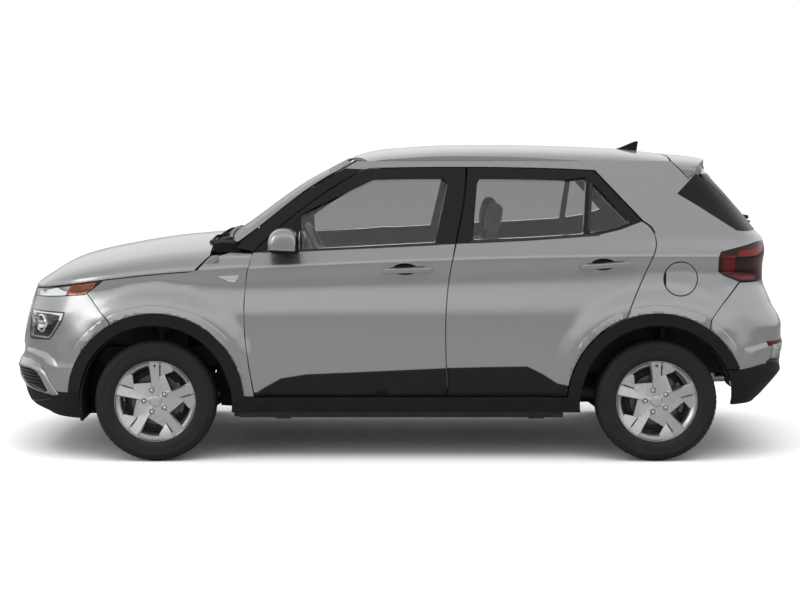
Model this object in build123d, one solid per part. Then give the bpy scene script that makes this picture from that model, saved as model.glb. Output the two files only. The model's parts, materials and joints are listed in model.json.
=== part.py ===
from build123d import *
import os
from math import atan2, cos, degrees, exp, hypot, radians, sin

os.makedirs("parts", exist_ok=True)

# Subcompact crossover, in millimetres. x runs to the rear, y to the right-hand
# side, z up, with the ground at z = 0 and x = 0 halfway along the car.

# --- overall size and running gear
WIDTH = 1770
NOSE_X = -1970
TAIL_X = 2034
MIDDLE_X = 36
FRONT_AXLE_X = -1180
WHEELBASE = 2520
REAR_AXLE_X = FRONT_AXLE_X + WHEELBASE
TRACK = 1550
TYRE_RADIUS = 306
TYRE_WIDTH = 185
RIM_RADIUS = 206
RIM_WIDTH = 166
STUD_COUNT = 5
STUD_CIRCLE = 114.3
STUD_HOLE = 12.5
HUB_RADIUS = 72

# --- body side
FLARE = 14
SILL_Z = 244
SILL_TOP_Z = 325
RAIL_Z = 1470
ROOF_SIDE_Z = 1506
DOOR_THICK = 64
DOOR_FLANGE = 14
DOOR_STEP = 22
SEAL = 11
PILLAR_THICK = 56
GAP = 5.5
GLASS = 5
GLASS_INSET = 9
ARCH_RADIUS = 386
TRIM_WIDTH = 60
TRIM_PROUD = 13
TRIM_RADIUS = ARCH_RADIUS + TRIM_WIDTH
CORNER_X = 1300
NOSE_POWER = 3.2
TAIL_POWER = 5.0
SKIN = 32
LEVEL_STEP = 26
STATION_STEP = 50
CORNER_STEP = 6
TAILGATE_HALF = 602
TAILGATE_Z = 742
TAILGATE_HINGE = (1452, 1524)
HOOD_REAR_X = -905
HOOD_FRONT_X = -1860
ROOF_FRONT_X = -196
ROOF_REAR_X = 1440
ROOF_THICK = 34
PILLAR_EASE = 6
SCREEN_EDGE = 84
SPOILER_TIP_X = 1668
SPOILER_ARC = 1500

# --- lamps, grille and trim edges
SLIM_INNER = 420
SLIM_EDGE = [(-420, 500), (-420, 1000)]
SQUARE_EDGE = [(-637, 500), (-450, 1000)]
GRILLE_TOP = 776
GRILLE_BOTTOM = 560
GRILLE_HALF = 505
GRILLE_BARS = 5
INTAKE = [(-520, 262), (-430, 402), (430, 402), (520, 262)]
NOSE_LIP_Z = 345
FRONT_SILL_X = 850
REAR_SILL_X = 1000
FLAP_CENTRE = (1454, 922)
FLAP_RADIUS = 82
FLAP_CHORD = 72
LAMP_TAIL = [(1658, 1055), (1773, 1081), (1855, 1099), (2100, 1099), (2100, 906), (1757, 906),
             (1677, 936), (1645, 958), (1647, 1029)]
SCREEN_REAR = [(-505, 1120), (-530, 1150), (-508, 1385), (-470, 1418), (470, 1418),
               (508, 1385), (530, 1150), (505, 1120)]

# --- door handles: each end of the bar as (x, z)
HANDLES = {"front": ((-36, 962), (210, 970)), "rear": ((951, 981), (1205, 997))}
HANDLE_PROUD = 30
HANDLE_THICK = 13
HANDLE_HEIGHT = 25

# --- exhaust and lower rear edge
VALANCE_Z = 280
LINER_Z = 240
PIPE_RADIUS = 26
TAIL_PIPE = ((1790, 400, 262), (1950, 420, 262))

# --- steering and jacking
BALL_JOINT = (FRONT_AXLE_X - 8, 705, 192)
STRUT_TOP = (FRONT_AXLE_X + 22, 585, 830)
WHEEL_HUB = (-352, -370, 1006)
WHEEL_TILT = 26
JACK_Z = 184
JACK_PLACES = [(x, y) for x in (-550, 750) for y in (-600, 600)]

# heights of the nose and tail at the centre line: (z, x)
NOSE = [(180, 210), (217, 130), (251, 69), (276, 50), (301, 39), (337, 34), (388, 19), (439, 10),
        (460, 8), (486, 26), (522, 37), (614, 42), (674, 52), (719, 64), (779, 86), (839, 105),
        (890, 130)]
TAIL = [(200, 244), (290, 124), (360, 56), (407, 17), (430, 0), (475, 7), (538, 5), (594, 1),
        (673, 2), (710, 18), (724, 24), (764, 51), (831, 80), (851, 90), (892, 103), (950, 104),
        (1000, 100), (1048, 94), (1101, 103), (1128, 124), (1186, 172), (1233, 205), (1349, 299),
        (1425, 371), (1480, 423)]
# height of the hood and roof along the centre line: (x, z)
HOOD_CREST = [(-1872, 832), (-1842, 874), (-1806, 900), (-1767, 925), (-1686, 973),
              (-1558, 1011), (-1424, 1038), (-1286, 1063), (-1147, 1083),
              (-1010, 1096), (-844, 1110)]
ROOF_CREST = [(-260, 1486), (-181, 1518), (-84, 1545), (50, 1559), (325, 1574),
              (600, 1575), (874, 1569), (1191, 1556), (1349, 1541), (1455, 1529),
              (1565, 1519), (1647, 1509), (1690, 1498)]
SCREEN = [(1080, -880), (1114, -831), (1181, -733), (1285, -594), (1378, -457),
          (1479, -271), (1520, -190)]


def blend(points, v):
    """Value at v of a smooth curve through (v, value) points, without overshoot."""
    if v <= points[0][0]:
        return points[0][1]
    if v >= points[-1][0]:
        return points[-1][1]
    k = next(i for i in range(len(points) - 1) if v <= points[i + 1][0])

    def rise(i):
        return (points[i + 1][1] - points[i][1]) / (points[i + 1][0] - points[i][0])

    def slope(i):
        if i == 0 or i == len(points) - 1:
            return rise(min(i, len(points) - 2))
        a, b = rise(i - 1), rise(i)
        return 0 if a * b <= 0 else 2 * a * b / (a + b)

    step = points[k + 1][0] - points[k][0]
    t = (v - points[k][0]) / step
    start = (2 * t**3 - 3 * t**2 + 1) * points[k][1] + (t**3 - 2 * t**2 + t) * step * slope(k)
    end = (3 * t**2 - 2 * t**3) * points[k + 1][1] + (t**3 - t**2) * step * slope(k + 1)
    return start + end


def crease_line(x):
    """Height of the shoulder crease, from the hood edge to the tail lamp."""
    m = x / 1000
    return 1011 + 37.5 * m - 13.2 * m**2 - 68 * min(0, m + 1) ** 2


def low_line(x):
    """Height of the hollow under the shoulder, raised over both wheels."""
    m = x / 1000
    front = 50 * exp(-(((x - FRONT_AXLE_X) / 220) ** 2))
    rear = 30 * exp(-(((x - REAR_AXLE_X - 80) / 300) ** 2))
    return 908 + 28 * m + front + rear


def belt_line(x):
    """Height of the bottom of the side windows."""
    return 1080 + 0.038 * x


def flare(x, z):
    """How far the body swells out around the wheel arches."""
    r = min(hypot(x - a, z - TYRE_RADIUS) for a in (FRONT_AXLE_X, REAR_AXLE_X))
    t = min(1, max(0, (r - 485) / 110))
    return (FLARE + 6) * (1 - t * t * (3 - 2 * t))


def side_width(x, z):
    """Half width of the body side, before the nose and tail round off."""
    low, crease, belt = low_line(x), crease_line(x), belt_line(x)
    door = WIDTH / 2 - FLARE
    section = [(180, door - 100), (SILL_Z, door - 66), (330, door - 32), (450, door - 14),
               (600, door - 4), (730, door), (low, door - 18), (crease - 14, door - 11),
               (crease, door - 10), (crease + 10, door - 15), (belt, door - 52),
               (1290, door - 143), (RAIL_Z, door - 239), (ROOF_SIDE_Z, door - 262)]
    m = (x - 100) / 1000
    barrel = 9 * m**2 + 22 * m**2 * min(1, max(0, (z - belt) / 400))
    return blend(section, z) - barrel + flare(x, z)


def end_reach(end, z):
    """Distance from the start of the rounded corner to the nose (end -1) or tail (1)."""
    back = blend(NOSE if end < 0 else TAIL, z)
    return abs(NOSE_X if end < 0 else TAIL_X) - back - CORNER_X


def end_power(end):
    return NOSE_POWER if end < 0 else TAIL_POWER


def half_width(x, z):
    """Half width of the body at a station and height, rounded corners included."""
    if abs(x) <= CORNER_X:
        return side_width(x, z)
    end = -1 if x < 0 else 1
    t = min(0.999, (abs(x) - CORNER_X) / end_reach(end, z))
    return side_width(x, z) * (1 - t ** end_power(end)) ** (1 / end_power(end))


def corner_point(end, angle, z, inset):
    """Point of the nose or tail skin seen at this angle from straight ahead or behind."""
    power, reach = end_power(end), end_reach(end, z) - inset
    c, s = abs(cos(radians(angle))), abs(sin(radians(angle)))
    x = end * CORNER_X
    for _ in range(4):
        width = side_width(x, z) - inset
        r = ((c / reach) ** power + (s / width) ** power) ** (-1 / power)
        x = end * (CORNER_X + r * c)
    return Vector(x, r * s if angle > 0 else -r * s, z)


def levels(x, low, high):
    """Evenly spaced heights at a station, with one of them on the shoulder crease."""
    crease = crease_line(x)
    if high <= 940:
        count = round((high - low) / LEVEL_STEP)
        return [low + (high - low) * k / count for k in range(count + 1)]
    below = round((950 - low) / LEVEL_STEP)
    above = max(2, round((high - 1000) / LEVEL_STEP))
    lower = [low + (crease - low) * k / below for k in range(below)]
    return lower + [crease + (high - crease) * k / above for k in range(above + 1)]


def stations(start, stop):
    """Places along one side: angles round the nose and tail, and stations between."""
    straight = round(2 * CORNER_X / STATION_STEP)
    out = []
    for k in range(start, stop + 1):
        if k < 0:
            out.append(("nose", -90 - k * CORNER_STEP))
        elif k <= straight:
            out.append(("side", -CORNER_X + k * 2 * CORNER_X / straight))
        else:
            out.append(("tail", (k - straight) * CORNER_STEP - 90))
    return out


def corner(kind):
    """Angles right round the nose or tail, from left to right."""
    steps = round(90 / CORNER_STEP)
    return [(kind, k * CORNER_STEP) for k in range(-steps, steps + 1)]


def skin_point(station, z, inset):
    """Point of the body skin, moved in by inset; straight stations are on the left."""
    kind, value = station
    if kind == "side":
        return Vector(value, inset - side_width(value, z), z)
    return corner_point(-1 if kind == "nose" else 1, value, z, inset)


def solid_between(outer, inner):
    """Solid between two grids of points: two smooth faces and four ruled edges."""
    faces = [Face.make_surface_from_array_of_points(g, min_deg=3, tol=0.5)
             for g in (outer, inner)]
    for edge in faces[0].edges():
        mate = min(faces[1].edges(), key=lambda e: (e.center() - edge.center()).length)
        faces.append(Face.make_surface_from_curves(edge, mate))
    return Solid(Shell(faces))


def body_slab(places, low, high, outer, inner):
    """Wall of the body between two insets from its skin."""
    rows = [(s, levels(skin_point(s, 900, 0).X, low, high)) for s in places]
    grids = [[[skin_point(s, z, inset) for z in marks] for s, marks in rows]
             for inset in (outer, inner)]
    return solid_between(*grids)


def side_prism(outline, y0=-1100, y1=0):
    """Solid that stands on a side-view outline, a face or a list of (x, z) points."""
    if isinstance(outline, list):
        outline = make_face(Polyline(*outline, close=True))
    solid = extrude(Plane.XZ * outline, amount=y1 - y0)
    return Pos(0, y1, 0) * solid


def front_prism(outline, x0, x1):
    """Solid that stands on a front-view outline of (y, z) points."""
    if isinstance(outline, list):
        outline = make_face(Polyline(*outline, close=True))
    return Pos(x0, 0, 0) * extrude(Plane.YZ * outline, amount=x1 - x0)


def block(x0, x1, y0, y1, z0, z1):
    """Box between two corners."""
    return Pos((x0 + x1) / 2, (y0 + y1) / 2, (z0 + z1) / 2) * Box(x1 - x0, y1 - y0, z1 - z0)


def tube(p, q, radius):
    """Round bar from one point to another."""
    p, q = Vector(*p), Vector(*q)
    plane = Plane(origin=p, z_dir=q - p)
    return extrude(plane * Circle(radius), amount=(q - p).length)


def largest(shape):
    """The biggest solid of a shape."""
    return max(shape.solids(), key=lambda s: s.volume)


def to_right(shape):
    return mirror(shape, about=Plane.XZ)


def save(name, *shapes):
    solids = [Pos(-MIDDLE_X, 0, 0) * s for shape in shapes for s in shape.solids()]
    whole = solids[0] if len(solids) == 1 else Compound(children=solids)
    export_step(whole, f"parts/{name}.step")
    print(name, len(solids), round(sum(s.volume for s in solids) / 1e6, 2))


# --- side-view outlines: lists of (x, z)
def wheel_circle(axle_x, radius):
    return Pos(axle_x, TYRE_RADIUS) * Circle(radius)


def smooth_face(*runs):
    """Face inside runs of points joined end to end; each run is a smooth curve."""
    edges = []
    for k, run in enumerate(runs):
        following = runs[(k + 1) % len(runs)][0]
        points = run + [following]
        edges.append(Line(*points) if len(points) == 2 else Spline(*points))
    return make_face(Curve() + edges)


def swell(runs, amount):
    """Runs of a clockwise outline moved outward all round by the same amount."""
    points = [Vector(*p, 0) for run in runs for p in run]
    moved = []
    for k, p in enumerate(points):
        before = (p - points[k - 1]).normalized()
        after = (points[(k + 1) % len(points)] - p).normalized()
        out = (before.rotate(Axis.Z, 90) + after.rotate(Axis.Z, 90)).normalized()
        reach = amount / max(0.5, out.dot(before.rotate(Axis.Z, 90)))
        moved.append(((p + out * reach).X, (p + out * reach).Y))
    starts = [sum(len(r) for r in runs[:k]) for k in range(len(runs))]
    return [moved[s : s + len(r)] for s, r in zip(starts, runs)]


def front_door_face(grow=0):
    runs = [
        [(-679, 334), (-702, 470), (-724, 640), (-727, 800), (-712, 950)],
        [(-684, 1050), (-456, 1253)],
        [(-121, 1464), (120, 1469)],
        [(383, 1470), (325, 1090), (298, 953), (278, 760), (277, 571)],
        [(287, 336)],
    ]
    return smooth_face(*swell(runs, grow))


def rear_door_face(grow=0):
    g = GAP
    runs = [
        [(287 + g, 336), (277 + g, 571), (278 + g, 760), (298 + g, 953), (327 + g, 1090)],
        [(387 + g, 1470), (720, 1466)],
        [(1034, 1454)],
        [(1268, 1202), (1322, 1145), (1329, 1085), (1304, 1016), (1247, 889)],
        [(1183, 735)],
        [(1183, 336)],
    ]
    arch = wheel_circle(REAR_AXLE_X, TRIM_RADIUS + 7 - grow)
    return smooth_face(*swell(runs, grow)) - arch


def front_window_face():
    return make_face(FilletPolyline(
        (-446, 1241), (-82, 1412), (272, 1416), (290, 1391), (226, 1101), (-441, 1066),
        radius=9, close=True))


def rear_window_face():
    return make_face(FilletPolyline(
        (453, 1415), (890, 1409), (996, 1424), (968, 1142), (698, 1125), (414, 1113),
        (440, 1391), radius=9, close=True))


def quarter_window_face():
    return make_face(FilletPolyline(
        (1023, 1398), (1208, 1198), (1100, 1163), (999, 1147), radius=9, close=True))


def doors():
    """Left-hand doors and their glass: frame and panel in one wall, windows cut."""
    along = stations(10, 54)
    slab = body_slab(along, 300, ROOF_SIDE_Z, 0, DOOR_THICK)
    glass = body_slab(along, 1030, ROOF_SIDE_Z, GLASS_INSET, GLASS_INSET + GLASS)
    windows = [front_window_face(), rear_window_face(), quarter_window_face()]
    outer = body_slab(along, 300, ROOF_SIDE_Z, 0, DOOR_FLANGE)
    doors = []
    for face, panes, ends in ((front_door_face, windows[:1], HANDLES["front"]),
                              (rear_door_face, windows[1:], HANDLES["rear"])):
        flange, box = face(), face(-DOOR_STEP)
        for pane in panes:
            flange -= pane
            box -= pane
        door = (outer & side_prism(flange)) + (slab & side_prism(box))
        doors.append(largest(door - handle_scoop(ends) + handle_bar(ends)))
    front, rear = doors
    panes = [glass & side_prism(w) for w in windows]
    return front, rear, panes[0], [panes[1], panes[2]]


def handle_scoop(ends):
    """Hollow behind a door handle, for the fingers."""
    (x0, z0), (x1, z1) = ends
    x, z = (x0 + x1) / 2 - 12, (z0 + z1) / 2 + 6
    return Pos(x, -half_width(x, z), z) * scale(Sphere(1), (62, 24, 30))


def handle_bar(ends):
    """Bar of a door handle with its two feet."""
    (x0, z0), (x1, z1) = ends
    outer = -half_width((x0 + x1) / 2, z0) - HANDLE_PROUD
    low, high = -HANDLE_HEIGHT / 2, HANDLE_HEIGHT / 2
    bar = block(0, x1 - x0, outer, outer + HANDLE_THICK, low, high)
    for start in (0, x1 - x0 - 38):
        bar += block(start, start + 38, outer, outer + HANDLE_PROUD + 8, low, high)
    bar = fillet(bar.edges().group_by(Axis.Y)[0], 5)
    rise = degrees(atan2(z1 - z0, x1 - x0))
    return Pos(x0, 0, z0) * Rot(0, -rise, 0) * bar


def hood():
    """Hood whose sides roll down to the shoulder crease."""

    def rib(x, inset):
        edge = crease_line(x)
        crest = max(blend(HOOD_CREST, x), edge + 12)
        width = half_width(x, edge)
        drop = min(inset, 0.55 * (crest - edge))
        points = []
        for angle in range(-90, 91, 6):
            c, s = max(0, cos(radians(angle))), sin(radians(angle))
            points.append(Vector(x, (width - inset) * s, edge + (crest - edge - drop) * c**0.75))
        return points

    stations = [HOOD_FRONT_X, -1853, -1840, -1820, -1795, -1762]
    stations += [-1720 + 55 * k for k in range(16)]
    slab = solid_between([rib(x, 0) for x in stations], [rib(x, 26) for x in stations])
    rear = [(-1010, 900), (-985, 958), (-962, 982), (HOOD_REAR_X, 1036),
            (HOOD_REAR_X, 1200), (-2100, 1200), (-2100, 800)]
    return slab & side_prism(rear, -1000, 1000)


def fender():
    """Left front fender, from the bumper joint to the door gap and up to the screen."""
    g = GAP
    side = body_slab(stations(-5, 13), 300, 1075, 0, SKIN)
    top = [(x, crease_line(x) - g) for x in (-1436, -1300, -1150, -1010)]
    outline = make_face(Polyline(
        (-1392, 640), (-1402, 706), (-1464, 778), (-1517, 847), (-1456, 893), *top,
        (-962, 966), (-895, 1024), (-800, 1050), (-700, 1046), (-684 - g, 1043),
        (-712 - g, 950), (-727 - g, 800), (-724 - g, 640), (-702 - g, 470),
        (-679 - g, 330), (-900, 330), (-1000, 500), close=True))
    return largest(side & side_prism(outline - wheel_circle(FRONT_AXLE_X, TRIM_RADIUS)))


def slim_lamp_outline():
    return [(-2100, 787), (-1584, 833), (-1530, 838), (-1462, 892), (-1444, 912),
            *[(x, crease_line(x) - GAP) for x in (-1500, -1600, -1700, -1800, -1880, -1930)],
            (-2100, crease_line(-1930) - GAP)]


def square_lamp_outline():
    return [(-2100, 740), (-1700, 752), (-1634, 750), (-1652, 700), (-1700, 628),
            (-1722, 606), (-2100, 580)]


def nose_slab(low, high, outer, inner):
    return body_slab(corner("nose"), low, high, outer, inner)


def both_sides(solid):
    """A left-hand solid and its mirror image."""
    return [solid, to_right(solid)]


def front_lamps():
    """Slim upper lamps and square lower lamps, left and right."""
    slab = nose_slab(600, 930, 1, 70)
    out = []
    for outline, inner in ((slim_lamp_outline(), SLIM_EDGE), (square_lamp_outline(), SQUARE_EDGE)):
        lamp = slab & side_prism(outline) & front_prism([(-900, 500), *inner, (-900, 1000)], -2100, -1400)
        out += both_sides(largest(lamp))
    return out


def grille_outline():
    return [(-GRILLE_HALF + 70, GRILLE_BOTTOM), (-GRILLE_HALF, 640), (-GRILLE_HALF, 740),
            (-SLIM_INNER - 4, GRILLE_TOP), (SLIM_INNER + 4, GRILLE_TOP), (GRILLE_HALF, 740),
            (GRILLE_HALF, 640), (GRILLE_HALF - 70, GRILLE_BOTTOM)]


def front_bumper():
    """Painted bumper with its places for lamps, grille and intake, and the lip below it."""
    slab = nose_slab(205, 930, 0, SKIN)
    g = GAP
    top = [(x, crease_line(x) - g) for x in (-1600, -1700, -1800, -1880, -1930)]
    outline = make_face(Polyline(
        (-2100, 150), (-1500, 150), (-1380, 560), (-1392 - g, 640), (-1402 - g, 706),
        (-1464 - g, 778), (-1517 - g, 847), *top, (-2100, top[-1][1]), close=True))
    painted = make_face(Polyline((-2100, NOSE_LIP_Z), (-1300, NOSE_LIP_Z), (-1300, 1000),
                                 (-2100, 1000), close=True))
    above = (outline & painted) - wheel_circle(FRONT_AXLE_X, TRIM_RADIUS)
    below = (outline - painted) - wheel_circle(FRONT_AXLE_X, ARCH_RADIUS)
    holes = [front_prism(grille_outline(), -2100, -1500), front_prism(INTAKE, -2100, -1500)]
    for points, inner in ((slim_lamp_outline(), SLIM_EDGE), (square_lamp_outline(), SQUARE_EDGE)):
        holes += both_sides(side_prism(points) & front_prism([(-900, 500), *inner, (-900, 1000)], -2100, -1400))
    shell = slab & side_prism(above, -1000, 1000)
    lip = slab & side_prism(below, -1000, 1000)
    for hole in holes:
        shell -= hole
    return largest(shell), largest(lip - holes[1])


def grille():
    """Sunk grille panel and lower intake panel."""
    slab = nose_slab(230, 860, 30, 50)
    proud = nose_slab(230, 860, 20, 34)
    upper = slab & front_prism(grille_outline(), -2100, -1500)
    for k in range(GRILLE_BARS):
        z = GRILLE_BOTTOM + (k + 1) * (GRILLE_TOP - GRILLE_BOTTOM) / (GRILLE_BARS + 1)
        half = GRILLE_HALF - 24
        bar = [(-half, z - 9), (half, z - 9), (half, z + 9), (-half, z + 9)]
        upper += proud & front_prism(bar, -2100, -1500) & front_prism(grille_outline(), -2100, -1500)
    lower = slab & front_prism(INTAKE, -2100, -1500)
    return largest(upper), largest(lower)


def arch_trim():
    """Black trim down one side: both wheel arch rings and the sill between them."""
    slab = body_slab(stations(-6, 58), 244, 800, -TRIM_PROUD, 30)
    rings = None
    for axle in (FRONT_AXLE_X, REAR_AXLE_X):
        ring = wheel_circle(axle, TRIM_RADIUS) - wheel_circle(axle, ARCH_RADIUS)
        rings = ring if rings is None else rings + ring
    low = SILL_Z + 2
    keep = make_face(Polyline((-1660, NOSE_LIP_Z), (-1400, NOSE_LIP_Z), (-1100, low), (1300, low),
                              (1500, 470), (1800, 470), (1800, 820), (-1660, 820), close=True))
    upper = slab & side_prism(rings & keep)
    sill = make_face(Polyline((-FRONT_SILL_X, low), (REAR_SILL_X, low), (REAR_SILL_X, SILL_TOP_Z),
                              (-FRONT_SILL_X, SILL_TOP_Z), close=True))
    for axle in (FRONT_AXLE_X, REAR_AXLE_X):
        sill -= wheel_circle(axle, ARCH_RADIUS)
    return largest(upper + (slab & side_prism(sill)))


def tail_slab(low, high, outer, inner):
    return body_slab(corner("tail"), low, high, outer, inner)


def body_side():
    """Left body side: roof rail, pillars, sill and rear quarter round the door openings."""
    g = GAP
    wall = DOOR_THICK + SEAL
    outer = body_slab(stations(10, 62), 500, ROOF_SIDE_Z, 0, wall + 4)
    inner = body_slab(stations(10, 58), SILL_Z, ROOF_SIDE_Z, wall, wall + PILLAR_THICK)
    pillar = [(-172, 1600), (-172, 1500), (-500, 1306), (-770, 1100)]
    skin = make_face(Polyline(
        *pillar[:3], (-770, 1075), (-700, 1062), (-684, 1050), (-300, 1340), (1100, 1340),
        (1100, 560), (1590, 560), (1604, 715), (1632, 756), (1752, 904), (1675, 934),
        (1643, 956), (1645, 1031), (1656, 1057), (1773, 1083), (1855, 1101), (2000, 1101),
        (2000, 1160), (1569, 1450), (1521, 1410), (1428, 1511), (1428, 1600), close=True))
    skin -= wheel_circle(REAR_AXLE_X, TRIM_RADIUS)
    skin -= front_door_face(g)
    skin -= rear_door_face(g)
    skin -= Pos(PILLAR_EASE, 0) * rear_door_face(g) & Pos(1200, 1400) * Rectangle(1000, 500)
    skin -= Pos(*FLAP_CENTRE) * Circle(FLAP_RADIUS + g)
    post = [(x + 16, z) for x, z in pillar]
    frame = make_face(Polyline(
        *post, (-754, SILL_Z + 2), (955, SILL_Z + 2), (955, 330), (1400, 560), (1560, 660),
        (1560, 1100), (1440, 1340), (1400, 1600), close=True))
    frame -= wheel_circle(REAR_AXLE_X, ARCH_RADIUS + 5)
    frame -= front_door_face(-58)
    frame -= rear_door_face(-58)
    panel = outer & side_prism(skin)
    panel += inner & side_prism(frame)
    panel -= front_prism(tailgate_region(g), 1490, 2100)
    panel -= roof_slab(-320, ROOF_REAR_X + 30, -90, ROOF_THICK + 0.5)
    return largest(panel)


def fuel_flap():
    """Round fuel flap, flattened along its hinge at the front."""
    wall = body_slab(stations(48, 60), 700, 1100, 0, 4)
    shape = Pos(*FLAP_CENTRE) * (Circle(FLAP_RADIUS) - Pos(-FLAP_CHORD - 50, 0) * Rectangle(100, 200))
    return largest(wall & side_prism(shape))


def tailgate_region(grow):
    """Rear-view outline of the tailgate, made larger by grow."""
    half, g = TAILGATE_HALF + grow, grow
    return [(-half, TAILGATE_Z - g), (-half, 1090), (-578 - g, 1200), (-560 - g, 1420),
            (-560 - g, 1600), (560 + g, 1600), (560 + g, 1420), (578 + g, 1200),
            (half, 1090), (half, TAILGATE_Z - g)]


def tailgate():
    """Tailgate with its spoiler, rear window opening and window."""
    slab = tail_slab(700, 1480, 0, 62)
    reach = side_prism([(1830, 700), (2100, 700), (2100, 1100), (1700, 1480), (1575, 1480),
                        (1600, 1420), (1700, 1260), (1790, 1150), (1830, 1050)], -1000, 1000)
    panel = slab & front_prism(tailgate_region(0), 1300, 2100) & reach
    panel -= front_prism(SCREEN_REAR, 1300, 2100)
    glass = tail_slab(1060, 1460, 4, 4 + GLASS) & front_prism(SCREEN_REAR, 1300, 2100)
    hinge_x, hinge_z = TAILGATE_HINGE
    roof = roof_slab(hinge_x - 2, SPOILER_TIP_X, 0, 76)
    wing = roof & side_prism([(hinge_x - 2, 1560), (hinge_x - 2, 1500), (1527, 1414),
                              (1575, 1456), (1600, 1420), (1640, 1426), (1660, 1446),
                              (SPOILER_TIP_X, 1474), (1660, 1498), (1640, 1515), (1620, 1560)],
                             -1000, 1000)
    wing &= Pos(SPOILER_TIP_X - SPOILER_ARC, 0, 1500) * Cylinder(SPOILER_ARC, 400)
    return largest(panel + wing), largest(glass)


def roof_slab(x0, x1, outer, inner):
    """Roof wall between two stations and two depths below its skin."""

    def rib(x, inset):
        half = side_width(x, ROOF_SIDE_Z) + 2
        crest = blend(ROOF_CREST, x)
        out = []
        for k in range(-14, 15):
            s = k / 14
            drop = 26 * s**2 + 40 * s**8
            out.append(Vector(x, s * half, crest - drop - inset))
        return out

    count = max(3, round((x1 - x0) / 60))
    xs = [x0 + (x1 - x0) * k / count for k in range(count + 1)]
    return solid_between([rib(x, outer) for x in xs], [rib(x, inner) for x in xs])


def roof():
    panel = roof_slab(-320, ROOF_REAR_X, 0, ROOF_THICK)
    cut = extrude(make_face(ThreePointArc((-110, -560), (ROOF_FRONT_X, 0), (-110, 560))
                            + Polyline((-110, 560), (1500, 590), (1500, -590), (-110, -560))),
                  amount=2000)
    return largest(panel & cut)


def screen_point(y, z, inset):
    """Point of the windshield skin, which curves back towards the pillars."""
    return Vector(blend(SCREEN, z) + 165 * (y / 1000) ** 2 + inset, y, z)


def windshield():
    def grid(inset):
        rows = []
        for k in range(-10, 11):
            marks = [1098 + (1496 - 1098) * j / 12 for j in range(13)]
            rows.append([screen_point(k / 10 * (side_width(-500, z) - SCREEN_EDGE), z, inset)
                         for z in marks])
        return rows

    return solid_between(grid(0), grid(GLASS))


def cowl():
    """Black panel between the hood and the windshield, with the two wipers' pivots."""
    profile = [(HOOD_REAR_X + 8, 1044), (HOOD_REAR_X + 8, 1088), (-862, 1094), (-762, 1090),
               (-762, 1044)]
    return side_prism(profile, -668, 668)


def rear_bumper():
    """Painted bumper below the tailgate and lamps, and the black valance under it."""
    slab = tail_slab(VALANCE_Z, 930, 0, SKIN)
    g = GAP
    outline = make_face(Polyline(
        (2100, 200), (1500, 200), (1590 + g, 560), (1604 + g, 715), (1632 + g, 756),
        (1752 + g, 904 - g), (2100, 904 - g), close=True))
    painted = make_face(Polyline(
        (1500, 463), (1768, 466), (1903, 486), (1945, 519), (2200, 519), (2200, 1000),
        (1500, 1000), close=True))
    above = (outline & painted) - wheel_circle(REAR_AXLE_X, TRIM_RADIUS)
    trimmed = wheel_circle(REAR_AXLE_X, TRIM_RADIUS + 1) & (Pos(REAR_AXLE_X, 968) * Rectangle(1200, 1000))
    below = (outline - painted) - wheel_circle(REAR_AXLE_X, ARCH_RADIUS) - trimmed
    shell = slab & side_prism(above, -1000, 1000)
    shell -= front_prism(tailgate_region(g), 1500, 2100)
    valance = largest(slab & side_prism(below, -1000, 1000))
    return largest(shell), largest(valance - tube(*TAIL_PIPE, PIPE_RADIUS + 12))


def tail_lamps():
    slab = tail_slab(880, 1120, 1, 60) & side_prism(LAMP_TAIL)
    outer = largest(slab & block(1400, 2100, -1000, -TAILGATE_HALF - GAP, 800, 1200))
    return both_sides(outer)


def tyre(x, y):
    """Tyre cross-section turned about the wheel's axis."""
    bead, seat = RIM_WIDTH / 2 - 11.5, RIM_RADIUS - 7
    edge, top, w = RIM_RADIUS + 2, TYRE_RADIUS, TYRE_WIDTH / 2
    wall = [(edge, bead), (edge + 14, w - 8), (edge + 45, w), (top - 22, w - 7), (top - 6, w - 18)]
    other = [(r, -h) for r, h in reversed(wall)]
    section = make_face(
        Polyline((edge, -bead), (seat, -bead), (seat, bead), (edge, bead)) + Spline(*wall)
        + Spline(wall[-1], (top, 0), other[0]) + Spline(*other))
    return Pos(x, y, TYRE_RADIUS) * revolve(section, axis=Axis.Y)


def spoke_face(*corners, radius=5):
    """Outline in the wheel's plane with rounded corners: each corner is (radius, angle)."""
    return make_face(FilletPolyline(*[clock(*c) for c in corners], radius=radius, close=True))


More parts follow.
